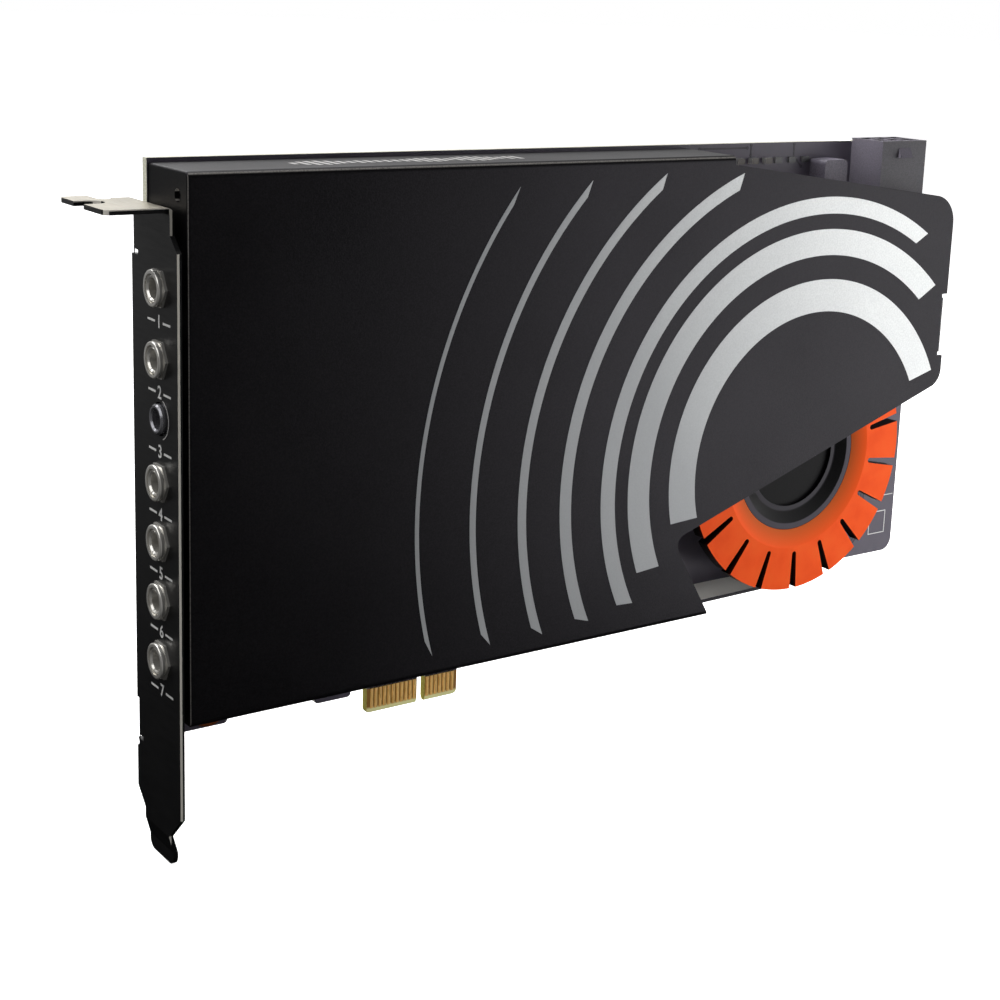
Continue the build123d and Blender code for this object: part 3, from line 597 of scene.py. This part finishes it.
def carrier_plastic():
    """Black carrier with a grey bezel ring and shelf around the hub."""
    finish = Finish("carrier_plastic", {"Specular IOR Level": 0.06})
    _, ny, _ = finish.facing()
    front = finish.below(ny, -0.3)
    reach = finish.radius(ring_x, ring_z)
    lip = finish.between(reach, (bezel_inner - edge_blur) * mm, (bezel_inner + edge_blur) * mm)
    rim = finish.within(reach, dish_inner, dish_inner + bezel_fade)
    shelf_in = finish.between(reach, (shelf_inner - edge_blur) * mm, (shelf_inner + edge_blur) * mm)
    shelf_out = finish.within(reach, shelf_outer - edge_blur, shelf_outer + shelf_fade)
    grain = finish.noise(0.3, 3.0)
    black = finish.mottle(grain, srgb(8, 8, 9), srgb(15, 14, 16))
    bezel = finish.mix(finish.both(lip, rim), black, srgb(78, 75, 83))
    shelf = finish.mix(finish.both(shelf_in, shelf_out), bezel, srgb(64, 62, 67))
    finish.set("Base Color", finish.mix(front, black, shelf))
    finish.set("Roughness", finish.vary(grain, 0.36, 0.5))
    finish.relief(grain, 0.012)
    return finish


# Finishes: dark and light tone in display values, roughness, grain or line, then depth or stretch
print_finish = silver_print()
along_x = (1.0, 0.08, 0.08)
nickel_finish = turned("bright_nickel", (206, 203, 196), (232, 230, 225), 0.16, 0.25, along_x, 0.66)
gunmetal_finish = turned("gunmetal", (128, 128, 133), (156, 156, 161), 0.22, 0.25, along_x, 0.75)
tin_finish = turned("tinned_metal", (188, 188, 186), (214, 214, 211), 0.28, 0.3, (1.0, 1.0, 0.1))
can_finish = turned("drawn_aluminium", (196, 198, 202), (222, 224, 227), 0.22, 0.3, (0.2, 1.0, 0.2))
steel_finish = turned("drawn_steel", (184, 184, 182), (206, 206, 204), 0.25, 0.4, (0.1, 1.0, 1.0))
brass_finish = turned("turned_brass", (190, 156, 92), (214, 182, 118), 0.26, 0.25, (0.1, 1.0, 0.1))
screw_finish = turned("black_screw", (48, 48, 50), (70, 70, 73), 0.3, 0.3, (1.0, 0.3, 1.0))
copper_finish = turned("bare_copper", (176, 92, 52), (208, 118, 72), 0.34, 0.4, (1.0, 1.0, 1.0))
solder_finish = turned("solder", (186, 186, 184), (216, 216, 213), 0.2, 0.6, (1.0, 1.0, 1.0))
dull = {"Specular IOR Level": 0.2}
black_finish = grained("moulded_black", (14, 14, 15), (26, 26, 28), 0.48, 0.25, 0.015)
header_finish = grained("header_black", (46, 44, 49), (63, 60, 67), 0.42, 0.25, 0.012, dull)
chip_finish = grained("chip_epoxy", (22, 22, 24), (38, 38, 40), 0.5, 0.15, 0.01)
ferrite_finish = grained("pressed_ferrite", (78, 74, 84), (104, 99, 112), 0.55, 0.3, 0.03)
film_finish = grained("red_case", (150, 30, 24), (184, 44, 34), 0.32, 0.4, 0.01, {"Coat Weight": 0.3})
relay_finish = grained("pale_case", (212, 210, 202), (232, 231, 224), 0.38, 0.4, 0.01)
lamp_finish = grained("lamp_resin", (226, 208, 140), (244, 232, 178), 0.25, 0.4, 0.005, {"Coat Weight": 0.4})
white_ink = grained("white_ink", (208, 208, 206), (232, 232, 230), 0.5, 0.2, 0.005)
grey_ink = grained("grey_ink", (168, 166, 164), (196, 194, 192), 0.5, 0.2, 0.005)
trace_finish = grained("masked_copper", (46, 43, 51), (60, 56, 65), 0.4, 0.5, 0.004, dull)

finishes = {
    "pcb": board_mask(),
    "edge_contacts": contact_gold(),
    "bracket": bracket_coat(),
    "shroud": shroud_coat(),
    "jack_contacts": tin_finish,
    "jack_nuts": nickel_finish,
    "light_ring": orange_plate(),
    "light_carrier": carrier_plastic(),
    "ring_lamps": lamp_finish,
    "power_header": header_finish,
    "power_pins": tin_finish,
    "power_inductor": ferrite_finish,
    "audio_processor": chip_finish,
    "converter_chip": chip_finish,
    "bridge_chip": chip_finish,
    "headphone_amplifier": chip_finish,
    "op_amps": chip_finish,
    "electrolytic_capacitors": can_finish,
    "film_capacitors": film_finish,
    "relays": relay_finish,
    "crystals": steel_finish,
    "regulators": chip_finish,
    "chip_resistors": capped("resistor_body", (30, 30, 33), (200, 200, 198), 0.9, 0.4),
    "chip_capacitors": capped("capacitor_body", (56, 48, 42), (214, 214, 212), 0.7, 0.45),
    "standoffs": brass_finish,
    "shroud_screws": screw_finish,
    "bracket_screws": screw_finish,
    "carrier_screws": screw_finish,
}
for number in jacks:
    finishes[f"jack_housing_{number}"] = black_finish
    finishes[f"jack_barrel_{number}"] = nickel_finish
small_jack = max(jacks, key=lambda number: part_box(f"jack_barrel_{number}")[0].x)
finishes[f"jack_barrel_{small_jack}"] = gunmetal_finish
for name, finish in finishes.items():
    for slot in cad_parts[name].material_slots:
        slot.material = finish.material


# Places on the faces: along, across or up the face, and off it
def on_panel(u, v, rise):
    return Vector((u, panel_face - rise, v))


def on_front(u, v, rise):
    return Vector((u, board_front - rise, v))


def on_back(u, v, rise):
    return Vector((u, board_back + rise, v))


def on_top(u, v, rise):
    return Vector((u, v, top_face + rise))


def on_bracket(u, v, rise):
    return Vector((bracket_face - rise, u, v))


def mesh_of(shape, name):
    """A mesh from a bmesh, with its faces turned outward."""
    bmesh.ops.recalc_face_normals(shape, faces=shape.faces)
    mesh = bpy.data.meshes.new(name)
    shape.to_mesh(mesh)
    shape.free()
    return mesh


def shown_mesh(thing):
    """The faces that an object shows, after its modifiers or as text."""
    bpy.context.view_layer.update()
    return bpy.data.meshes.new_from_object(thing.evaluated_get(bpy.context.evaluated_depsgraph_get()))


def piece(name, shape, finish, slot, *replaced):
    """A new object of the part, made from a bmesh, that rides on the card."""
    made = bpy.data.objects.new(name, mesh_of(shape, name))
    scene.collection.objects.link(made)
    made.data.materials.append(finish.material)
    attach(made, "root")
    if replaced:
        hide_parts(*replaced)
    return made


def smooth(mesh, crease):
    """Smooth shading, with edges sharper than the crease angle kept."""
    mesh.shade_smooth()
    mesh.set_sharp_from_angle(angle=math.radians(crease))


def band(target, inner, outer, place, thickness, closed=False):
    """A thin closed strip between two lines of points with equal counts, laid on a face."""
    rows = []
    for line, rise in ((inner, 0.0), (outer, 0.0), (outer, thickness), (inner, thickness)):
        rows.append([target.verts.new(place(u, v, rise)) for u, v in line])
    count = len(inner)
    spans = range(count) if closed else range(count - 1)
    for step in spans:
        after = (step + 1) % count
        for side in range(4):
            row, other = rows[side], rows[(side + 1) % 4]
            target.faces.new((row[step], row[after], other[after], other[step]))
    if not closed:
        for end in (0, count - 1):
            target.faces.new([row[end] for row in rows])


def on_circle(centre_u, centre_v, radius, angle):
    return (centre_u + radius * math.cos(angle), centre_v + radius * math.sin(angle))


def circle(centre_u, centre_v, radius, count):
    return [on_circle(centre_u, centre_v, radius, math.tau * step / count) for step in range(count)]


def beside(points, distance):
    """A line of points moved sideways, with its corners kept even."""
    moved = []
    for step, (u, v) in enumerate(points):
        before = points[max(step - 1, 0)]
        after = points[min(step + 1, len(points) - 1)]
        first = Vector((u - before[0], v - before[1])).normalized() if step else None
        last = Vector((after[0] - u, after[1] - v)).normalized() if step < len(points) - 1 else None
        first = first or last
        last = last or first
        across = (first + last).normalized().orthogonal()
        reach = distance / max(across.dot(first.orthogonal()), least_cosine)
        moved.append((u + across.x * reach, v + across.y * reach))
    return moved


def ribbon(target, points, width, place, thickness):
    """A strip of even width along a line of points."""
    band(target, beside(points, width / 2), beside(points, -width / 2), place, thickness)


def ring(target, spot, inner, outer, place, thickness, count):
    """A flat ring laid on a face round a spot."""
    band(target, circle(*spot, inner, count), circle(*spot, outer, count), place, thickness, closed=True)


def lanes(target, points, count, pitch, width, place):
    """Side by side tracks along a line given in millimetres; returns the ends of each."""
    ends = []
    line = [(u * mm, v * mm) for u, v in points]
    for lane in range(count):
        track = beside(line, (lane - (count - 1) / 2) * pitch * mm)
        ribbon(target, track, width * mm, place, copper_thick)
        ends += [track[0], track[-1]]
    return ends


def rectangle(low_u, low_v, high_u, high_v):
    return [(low_u, low_v), (high_u, low_v), (high_u, high_v), (low_u, high_v)]


def outline(target, low_u, low_v, high_u, high_v, place):
    """The outline of a rectangle as a printed line."""
    width = legend_width * mm
    inner = rectangle(low_u, low_v, high_u, high_v)
    outer = rectangle(low_u - width, low_v - width, high_u + width, high_v + width)
    band(target, inner, outer, place, print_thick, closed=True)


def lathe(target, origin, axis, profile, count):
    """A turned solid: profile points are radius and height along the axis, from the bottom to the top."""
    turn = Vector(axis).to_track_quat("Z", "Y")
    loops = []
    for radius, height in profile:
        spots = circle(0, 0, radius, count) if radius else [(0, 0)]
        loops.append([target.verts.new(Vector(origin) + turn @ Vector((u, v, height))) for u, v in spots])
    for lower, upper in zip(loops, loops[1:]):
        for step in range(count):
            after = (step + 1) % count
            near = [lower[step % len(lower)], lower[after % len(lower)]]
            far = [upper[after % len(upper)], upper[step % len(upper)]]
            target.faces.new(list(dict.fromkeys(near + far)))


def off_line(spot, points, reach):
    """Whether a spot is further than a reach from every run of a line given in millimetres."""
    spot = Vector(spot)
    line = [Vector(point) * mm for point in points]
    for start, end in zip(line, line[1:]):
        _, share = intersect_point_line(spot, start, end)
        if (start.lerp(end, min(max(share, 0.0), 1.0)) - spot).length < reach:
            return False
    return True


def solids_of(name):
    """Lowest and highest corner of each separate solid in a node; points in the same micrometre are one."""
    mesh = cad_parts[name].data
    parent = {}

    def root(key):
        while parent[key] != key:
            key = parent[key]
        return key

    keys = [tuple(round(value * 1e6) for value in vertex.co) for vertex in mesh.vertices]
    for key in keys:
        parent.setdefault(key, key)
    for polygon in mesh.polygons:
        first = root(keys[polygon.vertices[0]])
        for vertex in polygon.vertices[1:]:
            parent[root(keys[vertex])] = first
    groups = {}
    for key, vertex in zip(keys, mesh.vertices):
        groups.setdefault(root(key), []).append(vertex.co)
    boxes = []
    for points in groups.values():
        low = Vector([min(point[axis] for point in points) for axis in range(3)])
        high = Vector([max(point[axis] for point in points) for axis in range(3)])
        boxes.append((low, high))
    return sorted(boxes, key=lambda box: (round(box[0].x, 5), round(box[0].z, 5)))


def middle_of(low, high):
    """Middle of a box along and up the board."""
    return ((low.x + high.x) / 2, (low.z + high.z) / 2)


def jack_middle(number):
    """Middle of a jack across and up the bracket."""
    low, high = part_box(f"jack_barrel_{number}")
    return ((low.y + high.y) / 2, (low.z + high.z) / 2)


# Sound waves around the light ring, printed in silver on the panel
waves = bmesh.new()
for radius, width, first, last in wave_bands:
    count = int((last - first) / wave_step) + 1
    turn = last - first - wave_slant
    inner, outer = [], []
    for step in range(count + 1):
        outside = first + turn * step / count
        inside = outside + wave_slant
        inner.append(on_circle(ring_x, ring_z, (radius - width / 2) * mm, math.radians(inside)))
        outer.append(on_circle(ring_x, ring_z, (radius + width / 2) * mm, math.radians(outside)))
    band(waves, inner, outer, on_panel, print_thick)
piece("panel_print", waves, print_finish, "shroud_paint")

# Level bars on the top wall
bars = bmesh.new()
bar_middle = (panel_face + board_front) / 2
for step in range(bar_count):
    u = (bar_first_x + step * bar_pitch) * mm
    level = abs(math.sin(bar_swing * step) * math.cos(bar_drift * step))
    half = bar_reach * mm * (bar_least + (1 - bar_least) * level)
    ends = [(u, bar_middle - half), (u, bar_middle + half)]
    ribbon(bars, ends, bar_width * mm, on_top, print_thick)
piece("top_print", bars, grey_ink, "shroud_paint")


def figure(number):
    """Mesh of a number, flat and centred on the origin."""
    letters = bpy.data.curves.new(f"number_{number}", "FONT")
    letters.body = str(number)
    letters.size = number_size * mm
    letters.align_x = "CENTER"
    letters.align_y = "CENTER"
    letters.extrude = print_thick / 2
    letters.offset = number_swell * mm
    holder = bpy.data.objects.new(f"number_{number}", letters)
    scene.collection.objects.link(holder)
    mesh = shown_mesh(holder)
    bpy.data.objects.remove(holder)
    bpy.data.curves.remove(letters)
    return mesh


# Numbers under the jacks, between two short rules
numbers = bmesh.new()
turn_to_bracket = Matrix(((0, 0, -1), (-1, 0, 0), (0, 1, 0))).to_4x4()
for number in jacks:
    across, up = jack_middle(number)
    up -= number_drop * mm
    digit = figure(number)
    digit.transform(Matrix.Translation((bracket_face - print_thick / 2, across, up)) @ turn_to_bracket)
    numbers.from_mesh(digit)
    bpy.data.meshes.remove(digit)
    for side in (-1, 1):
        start = across + side * number_rule_gap * mm
        ends = [(start, up), (start + side * number_rule * mm, up)]
        ribbon(numbers, ends, number_rule_width * mm, on_bracket, print_thick)
piece("jack_numbers", numbers, white_ink, "bracket_paint")

# Arc printed round the small jack
arc = bmesh.new()
arc_inner, arc_outer = [], []
for degrees in range(-jack_arc_half, jack_arc_half + 1, jack_arc_step):
    angle = math.radians(180 + degrees)
    arc_inner.append(on_circle(*jack_middle(small_jack), jack_arc_radius * mm, angle))
    arc_outer.append(on_circle(*jack_middle(small_jack), (jack_arc_radius + jack_arc_width) * mm, angle))
band(arc, arc_inner, arc_outer, on_bracket, print_thick)
piece("jack_arc", arc, grey_ink, "bracket_paint")


def wedge(target, origin, away, along, radius, height):
    """One bar of a cross recess, narrower at its bottom."""
    across = Vector((-along.z, 0, along.x))
    rows = []
    for share, level in ((1.0, recess_start), (recess_taper, 1 - recess_depth)):
        length = along * radius * recess_length / 2 * share
        width = across * radius * recess_width / 2 * share
        lift = Vector((0, away * height * level, 0))
        spots = (length + width, width - length, -length - width, length - width)
        rows.append([target.verts.new(origin + lift + spot) for spot in spots])
    for row in rows:
        target.faces.new(row)
    for step in range(4):
        after = (step + 1) % 4
        target.faces.new((rows[0][step], rows[0][after], rows[1][after], rows[1][step]))


def pan_heads(node, away):
    """Pan head screws with a cross recess, for a node's plain ones; away is the heads' way along Y."""
    screws = bmesh.new()
    cuts = {(1, 0, 0): bmesh.new(), (0, 0, 1): bmesh.new()}
    seat = board_back if away > 0 else board_front
    for low, high in solids_of(node):
        radius = (high.x - low.x) / 2
        height = high.y - seat if away > 0 else seat - low.y
        length = seat - low.y if away > 0 else high.y - seat
        x, z = middle_of(low, high)
        origin = Vector((x, seat, z))
        shank = radius * shank_share
        profile = [
            (0, -length),
            (tip_radius * shank, -length),
            (shank, tip_length * shank - length),
            (shank, 0),
        ]
        profile += [(across * radius, up * height) for across, up in head_profile]
        lathe(screws, origin, (0, away, 0), profile, head_sides)
        for along, cut in cuts.items():
            wedge(cut, origin, away, Vector(along), radius, height)
    made = piece(node + "_detail", screws, screw_finish, "screw", node)
    cutters = []
    for cut in cuts.values():
        cutter = bpy.data.objects.new("recess", mesh_of(cut, "recess"))
        scene.collection.objects.link(cutter)
        carve = made.modifiers.new("recess", "BOOLEAN")
        carve.operation = "DIFFERENCE"
        carve.object = cutter
        cutters.append(cutter)
    carved = shown_mesh(made)
    made.modifiers.clear()
    made.data = carved
    smooth(carved, head_crease)
    for cutter in cutters:
        bpy.data.meshes.remove(cutter.data)


pan_heads("shroud_screws", 1)
pan_heads("carrier_screws", 1)
pan_heads("bracket_screws", -1)
ear_screws = solids_of("bracket_screws")
back_screws = solids_of("shroud_screws") + solids_of("carrier_screws")


def pads(screws, margin, place):
    """Rings of bare metal under screw heads."""
    target = bmesh.new()
    for low, high in screws:
        radius = (high.x - low.x) / 2
        outer = radius + margin * mm
        ring(target, middle_of(low, high), pad_inner * radius, outer, place, copper_thick, pad_sides)
    return target


# Bare copper round the bracket screws, tinned rings under the screws on the back
piece("ear_pads", pads(ear_screws, ear_pad_margin, on_front), copper_finish, "board")
piece("screw_pads", pads(back_screws, back_pad_margin, on_back), tin_finish, "board")

# Solder on the tails of the jacks and of the power header
tails = [(*middle_of(low, high), solder_radius * mm) for low, high in solids_of("jack_contacts")]
for low, high in solids_of("power_pins"):
    tails.append(((low.x + high.x) / 2, low.z + (high.x - low.x) / 2, pin_solder_radius * mm))
solder = bmesh.new()
for u, v, radius in tails:
    profile = [(across * radius, up * radius) for across, up in solder_profile]
    lathe(solder, on_back(u, v, 0), (0, 1, 0), profile, solder_sides)
joints = piece("solder_joints", solder, solder_finish, "tin")
smooth(joints.data, solder_crease)

# Tracks on both faces of the board; the front ones end in vias under the mask
back_tracks = bmesh.new()
via_spots = []
for points, count, pitch in back_buses:
    via_spots += lanes(back_tracks, points, count, pitch, track_width, on_back)
for points, count, pitch in power_buses:
    via_spots += lanes(back_tracks, points, count, pitch, power_track_width, on_back)
piece("back_tracks", back_tracks, trace_finish, "board")
via_size = (via_inner * mm, via_outer * mm)
via_height = via_rise * copper_thick
front_tracks = bmesh.new()
for points, count, pitch in front_buses:
    for spot in lanes(front_tracks, points, count, pitch, front_track_width, on_front):
        ring(front_tracks, spot, *via_size, on_front, via_height, via_sides)
piece("front_tracks", front_tracks, trace_finish, "board")

# Vias on the back: at the tracks' ends, and scattered where nothing else is
carrier_spots = [middle_of(low, high) for low, high in solids_of("carrier_screws")]
legend_ring = max(math.dist(spot, (ring_x, ring_z)) for spot in carrier_spots) + legend_ring_margin * mm
keep_off = [(middle_of(low, high), via_off_screw * mm) for low, high in back_screws + ear_screws]
keep_off += [((u, v), via_off_solder * mm) for u, v, _ in tails]


def is_clear(spot):
    """Whether a via at a spot on the back keeps off screws, solder, tracks, print and other vias."""
    clear = all(math.dist(spot, other) > gap for other, gap in keep_off)
    clear = clear and abs(math.dist(spot, (ring_x, ring_z)) - legend_ring) > via_off_print * mm
    for points, count, pitch in back_buses + power_buses:
        clear = clear and off_line(spot, points, (count * pitch / 2 + via_off_print) * mm)
    return clear


scatter = random.Random(via_seed)
wanted = len(via_spots) + via_scatter
while len(via_spots) < wanted:
    u = scatter.uniform(board_low.x + via_off_edge * mm, board_high.x - via_off_edge * mm)
    v = scatter.uniform(board_low.z + via_off_foot * mm, board_high.z - via_off_edge * mm)
    if is_clear((u, v)):
        via_spots.append((u, v))
        keep_off.append(((u, v), via_gap * mm))
vias = bmesh.new()
for spot in via_spots:
    ring(vias, spot, *via_size, on_back, via_height, via_sides)
piece("vias", vias, tin_finish, "board")

# White outlines on the board's back
legend = bmesh.new()
for number in jacks:
    _, up = jack_middle(number)
    near = [tail for tail in tails if abs(tail[1] - up) < mm]
    left = min(tail[0] for tail in near) - legend_beside_tails * mm
    right = max(tail[0] for tail in near) + legend_beside_tails * mm
    low = near[0][1] - legend_over_tails * mm
    high = near[0][1] + legend_over_tails * mm
    outline(legend, left, low, right, high, on_back)
header_foot = header_low.z - legend_header_height * mm
outline(legend, header_low.x, header_foot, header_high.x, header_low.z, on_back)
legend_ring_edge = legend_ring + legend_width * mm
ring(legend, (ring_x, ring_z), legend_ring, legend_ring_edge, on_back, print_thick, legend_ring_sides)

# White mark on the board's front
mark_left = board_high.x - mark_from_right * mm
mark_low = shroud_low.z + mark_above_shroud * mm
mark_rule = mark_low + mark_rule_up * mm
rule_end = board_high.x - mark_rule_from_right * mm
outline(legend, mark_left, mark_low, mark_left + mark_width * mm, mark_low + mark_height * mm, on_front)
ribbon(legend, [(mark_left, mark_rule), (rule_end, mark_rule)], legend_width * mm, on_front, print_thick)
piece("board_legend", legend, white_ink, "board")

# Floor
floor_level = cad_low.z - floor_drop * mm
half_floor = floor_reach * mm
floor_corners = [(x, y, floor_level) for x, y in rectangle(-half_floor, -half_floor, half_floor, half_floor)]
floor_mesh = bpy.data.meshes.new("floor")
floor_mesh.from_pydata(floor_corners, [], [(0, 1, 2, 3)])
floor = bpy.data.objects.new("floor", floor_mesh)
scene.collection.objects.link(floor)
floor_glow = {"Roughness": 0.9, "Emission Strength": 0.8, "Emission Color": white}
floor_finish = Finish("floor_white", floor_glow)
floor_shade = floor_finish.noise(400.0, 2.0)
floor_finish.set("Base Color", floor_finish.mix(floor_shade, srgb(246, 246, 246), srgb(250, 250, 250)))
floor_mesh.materials.append(floor_finish.material)
floor.visible_glossy = False
floor.visible_diffuse = False


def softbox(name, place, target, width, height, power, spread=180.0):
    """A rectangular soft light turned toward a target, in metres; spread is its beam's angle."""
    data = bpy.data.lights.new(name, "AREA")
    data.shape = "RECTANGLE"
    data.size = width
    data.size_y = height
    data.energy = power
    data.spread = math.radians(spread)
    light = bpy.data.objects.new(name, data)
    light.location = place
    light.rotation_mode = "QUATERNION"
    light.rotation_quaternion = (Vector(target) - Vector(place)).to_track_quat("-Z", "Y")
    light.visible_camera = False
    scene.collection.objects.link(light)


# Lights: place, aim, width, height and power; the ones on the contacts and the header have a narrow beam
middle = (cad_low + cad_high) / 2
header_y = (header_low.y + header_high.y) / 2
right_end = (cad_high.x - right_aim * mm, panel_face, middle.z)
left_end = (cad_low.x, middle.y, cad_high.z)
gap_end = (ring_x, (panel_face + board_front) / 2, shroud_low.z)
contact_end = (0.0, board_front, finger_top / 2 * mm)
header_end = (header_low.x, header_y, header_high.z + header_aim * mm)
softbox("top_light", (0.05, 0.2, 0.8), middle, 0.9, 0.6, 2.4)
softbox("right_light", (0.22, -0.14, 0.045), right_end, 0.2, 0.22, 0.44)
softbox("left_light", (-0.28, 0.0, 0.26), left_end, 0.25, 0.25, 0.36)
softbox("back_light", (-0.1, 0.6, 0.75), middle, 0.9, 0.6, 7.0)
softbox("side_light", (0.45, -0.004, 0.09), gap_end, 0.08, 0.08, 1.3)
softbox("contact_light", (-0.06, -0.3, 0.03), contact_end, 0.03, 0.03, 0.0009, 10.0)
softbox("header_light", (0.0, header_y, 0.25), header_end, 0.01, 0.01, 0.006, 10.0)

# World: white to the camera, and as light bright behind the card and dim in front of it
world = bpy.data.worlds.new("studio")
scene.world = world
world.use_nodes = True
studio = Nodes(world.node_tree)
way_x, way_y, way_z = studio.split(studio.add("ShaderNodeTexCoord").outputs["Generated"])
behind = studio.between(way_y, 0.1, 0.8, 0.0, 0.75)
less_at_left = studio.between(way_x, -0.6, 0.3, 0.15, 1.0)
none_below = studio.between(way_z, -0.36, -0.05)
from_back = studio.both(behind, less_at_left, none_below)
from_left = studio.between(way_x, -0.3, -1.0, 0.005, 0.06)
from_top = studio.between(way_z, 0.4, 1.0, 0.0, 0.12)
ahead = studio.between(way_y, -0.1, -0.9, 0.0, 0.3)
none_at_right = studio.between(way_x, 0.2, -0.3)
from_front = studio.both(ahead, none_at_right)
background = world.node_tree.nodes["Background"]
background.inputs["Color"].default_value = white
studio.put(background.inputs["Strength"], studio.calc("ADD", from_back, from_left, from_top, from_front))
bright = studio.add("ShaderNodeBackground", {"Color": white, "Strength": 1.0})
seen = studio.add("ShaderNodeLightPath").outputs["Is Camera Ray"]
shown = studio.add("ShaderNodeMixShader", {0: seen, 1: background.outputs[0], 2: bright.outputs[0]})
studio.put(world.node_tree.nodes["World Output"].inputs["Surface"], shown.outputs[0])
scene.view_settings.view_transform = "Standard"

# Camera
camera_data = bpy.data.cameras.new("camera")
camera_data.sensor_width = sensor_width
camera_data.lens = focal_pixels / frame_pixels * sensor_width
camera_data.shift_x, camera_data.shift_y = camera_shift
camera_data.clip_start = camera_near
camera_data.clip_end = camera_far
camera = bpy.data.objects.new("camera", camera_data)
azimuth, elevation = math.radians(camera_azimuth), math.radians(camera_elevation)
level_x, level_y = math.sin(azimuth), -math.cos(azimuth)
back = Vector((level_x * math.cos(elevation), level_y * math.cos(elevation), math.sin(elevation)))
roll = Quaternion((0, 0, 1), math.radians(camera_roll))
camera.location = camera_place
camera.rotation_mode = "QUATERNION"
camera.rotation_quaternion = (-back).to_track_quat("-Z", "Y") @ roll
scene.collection.objects.link(camera)
scene.camera = camera
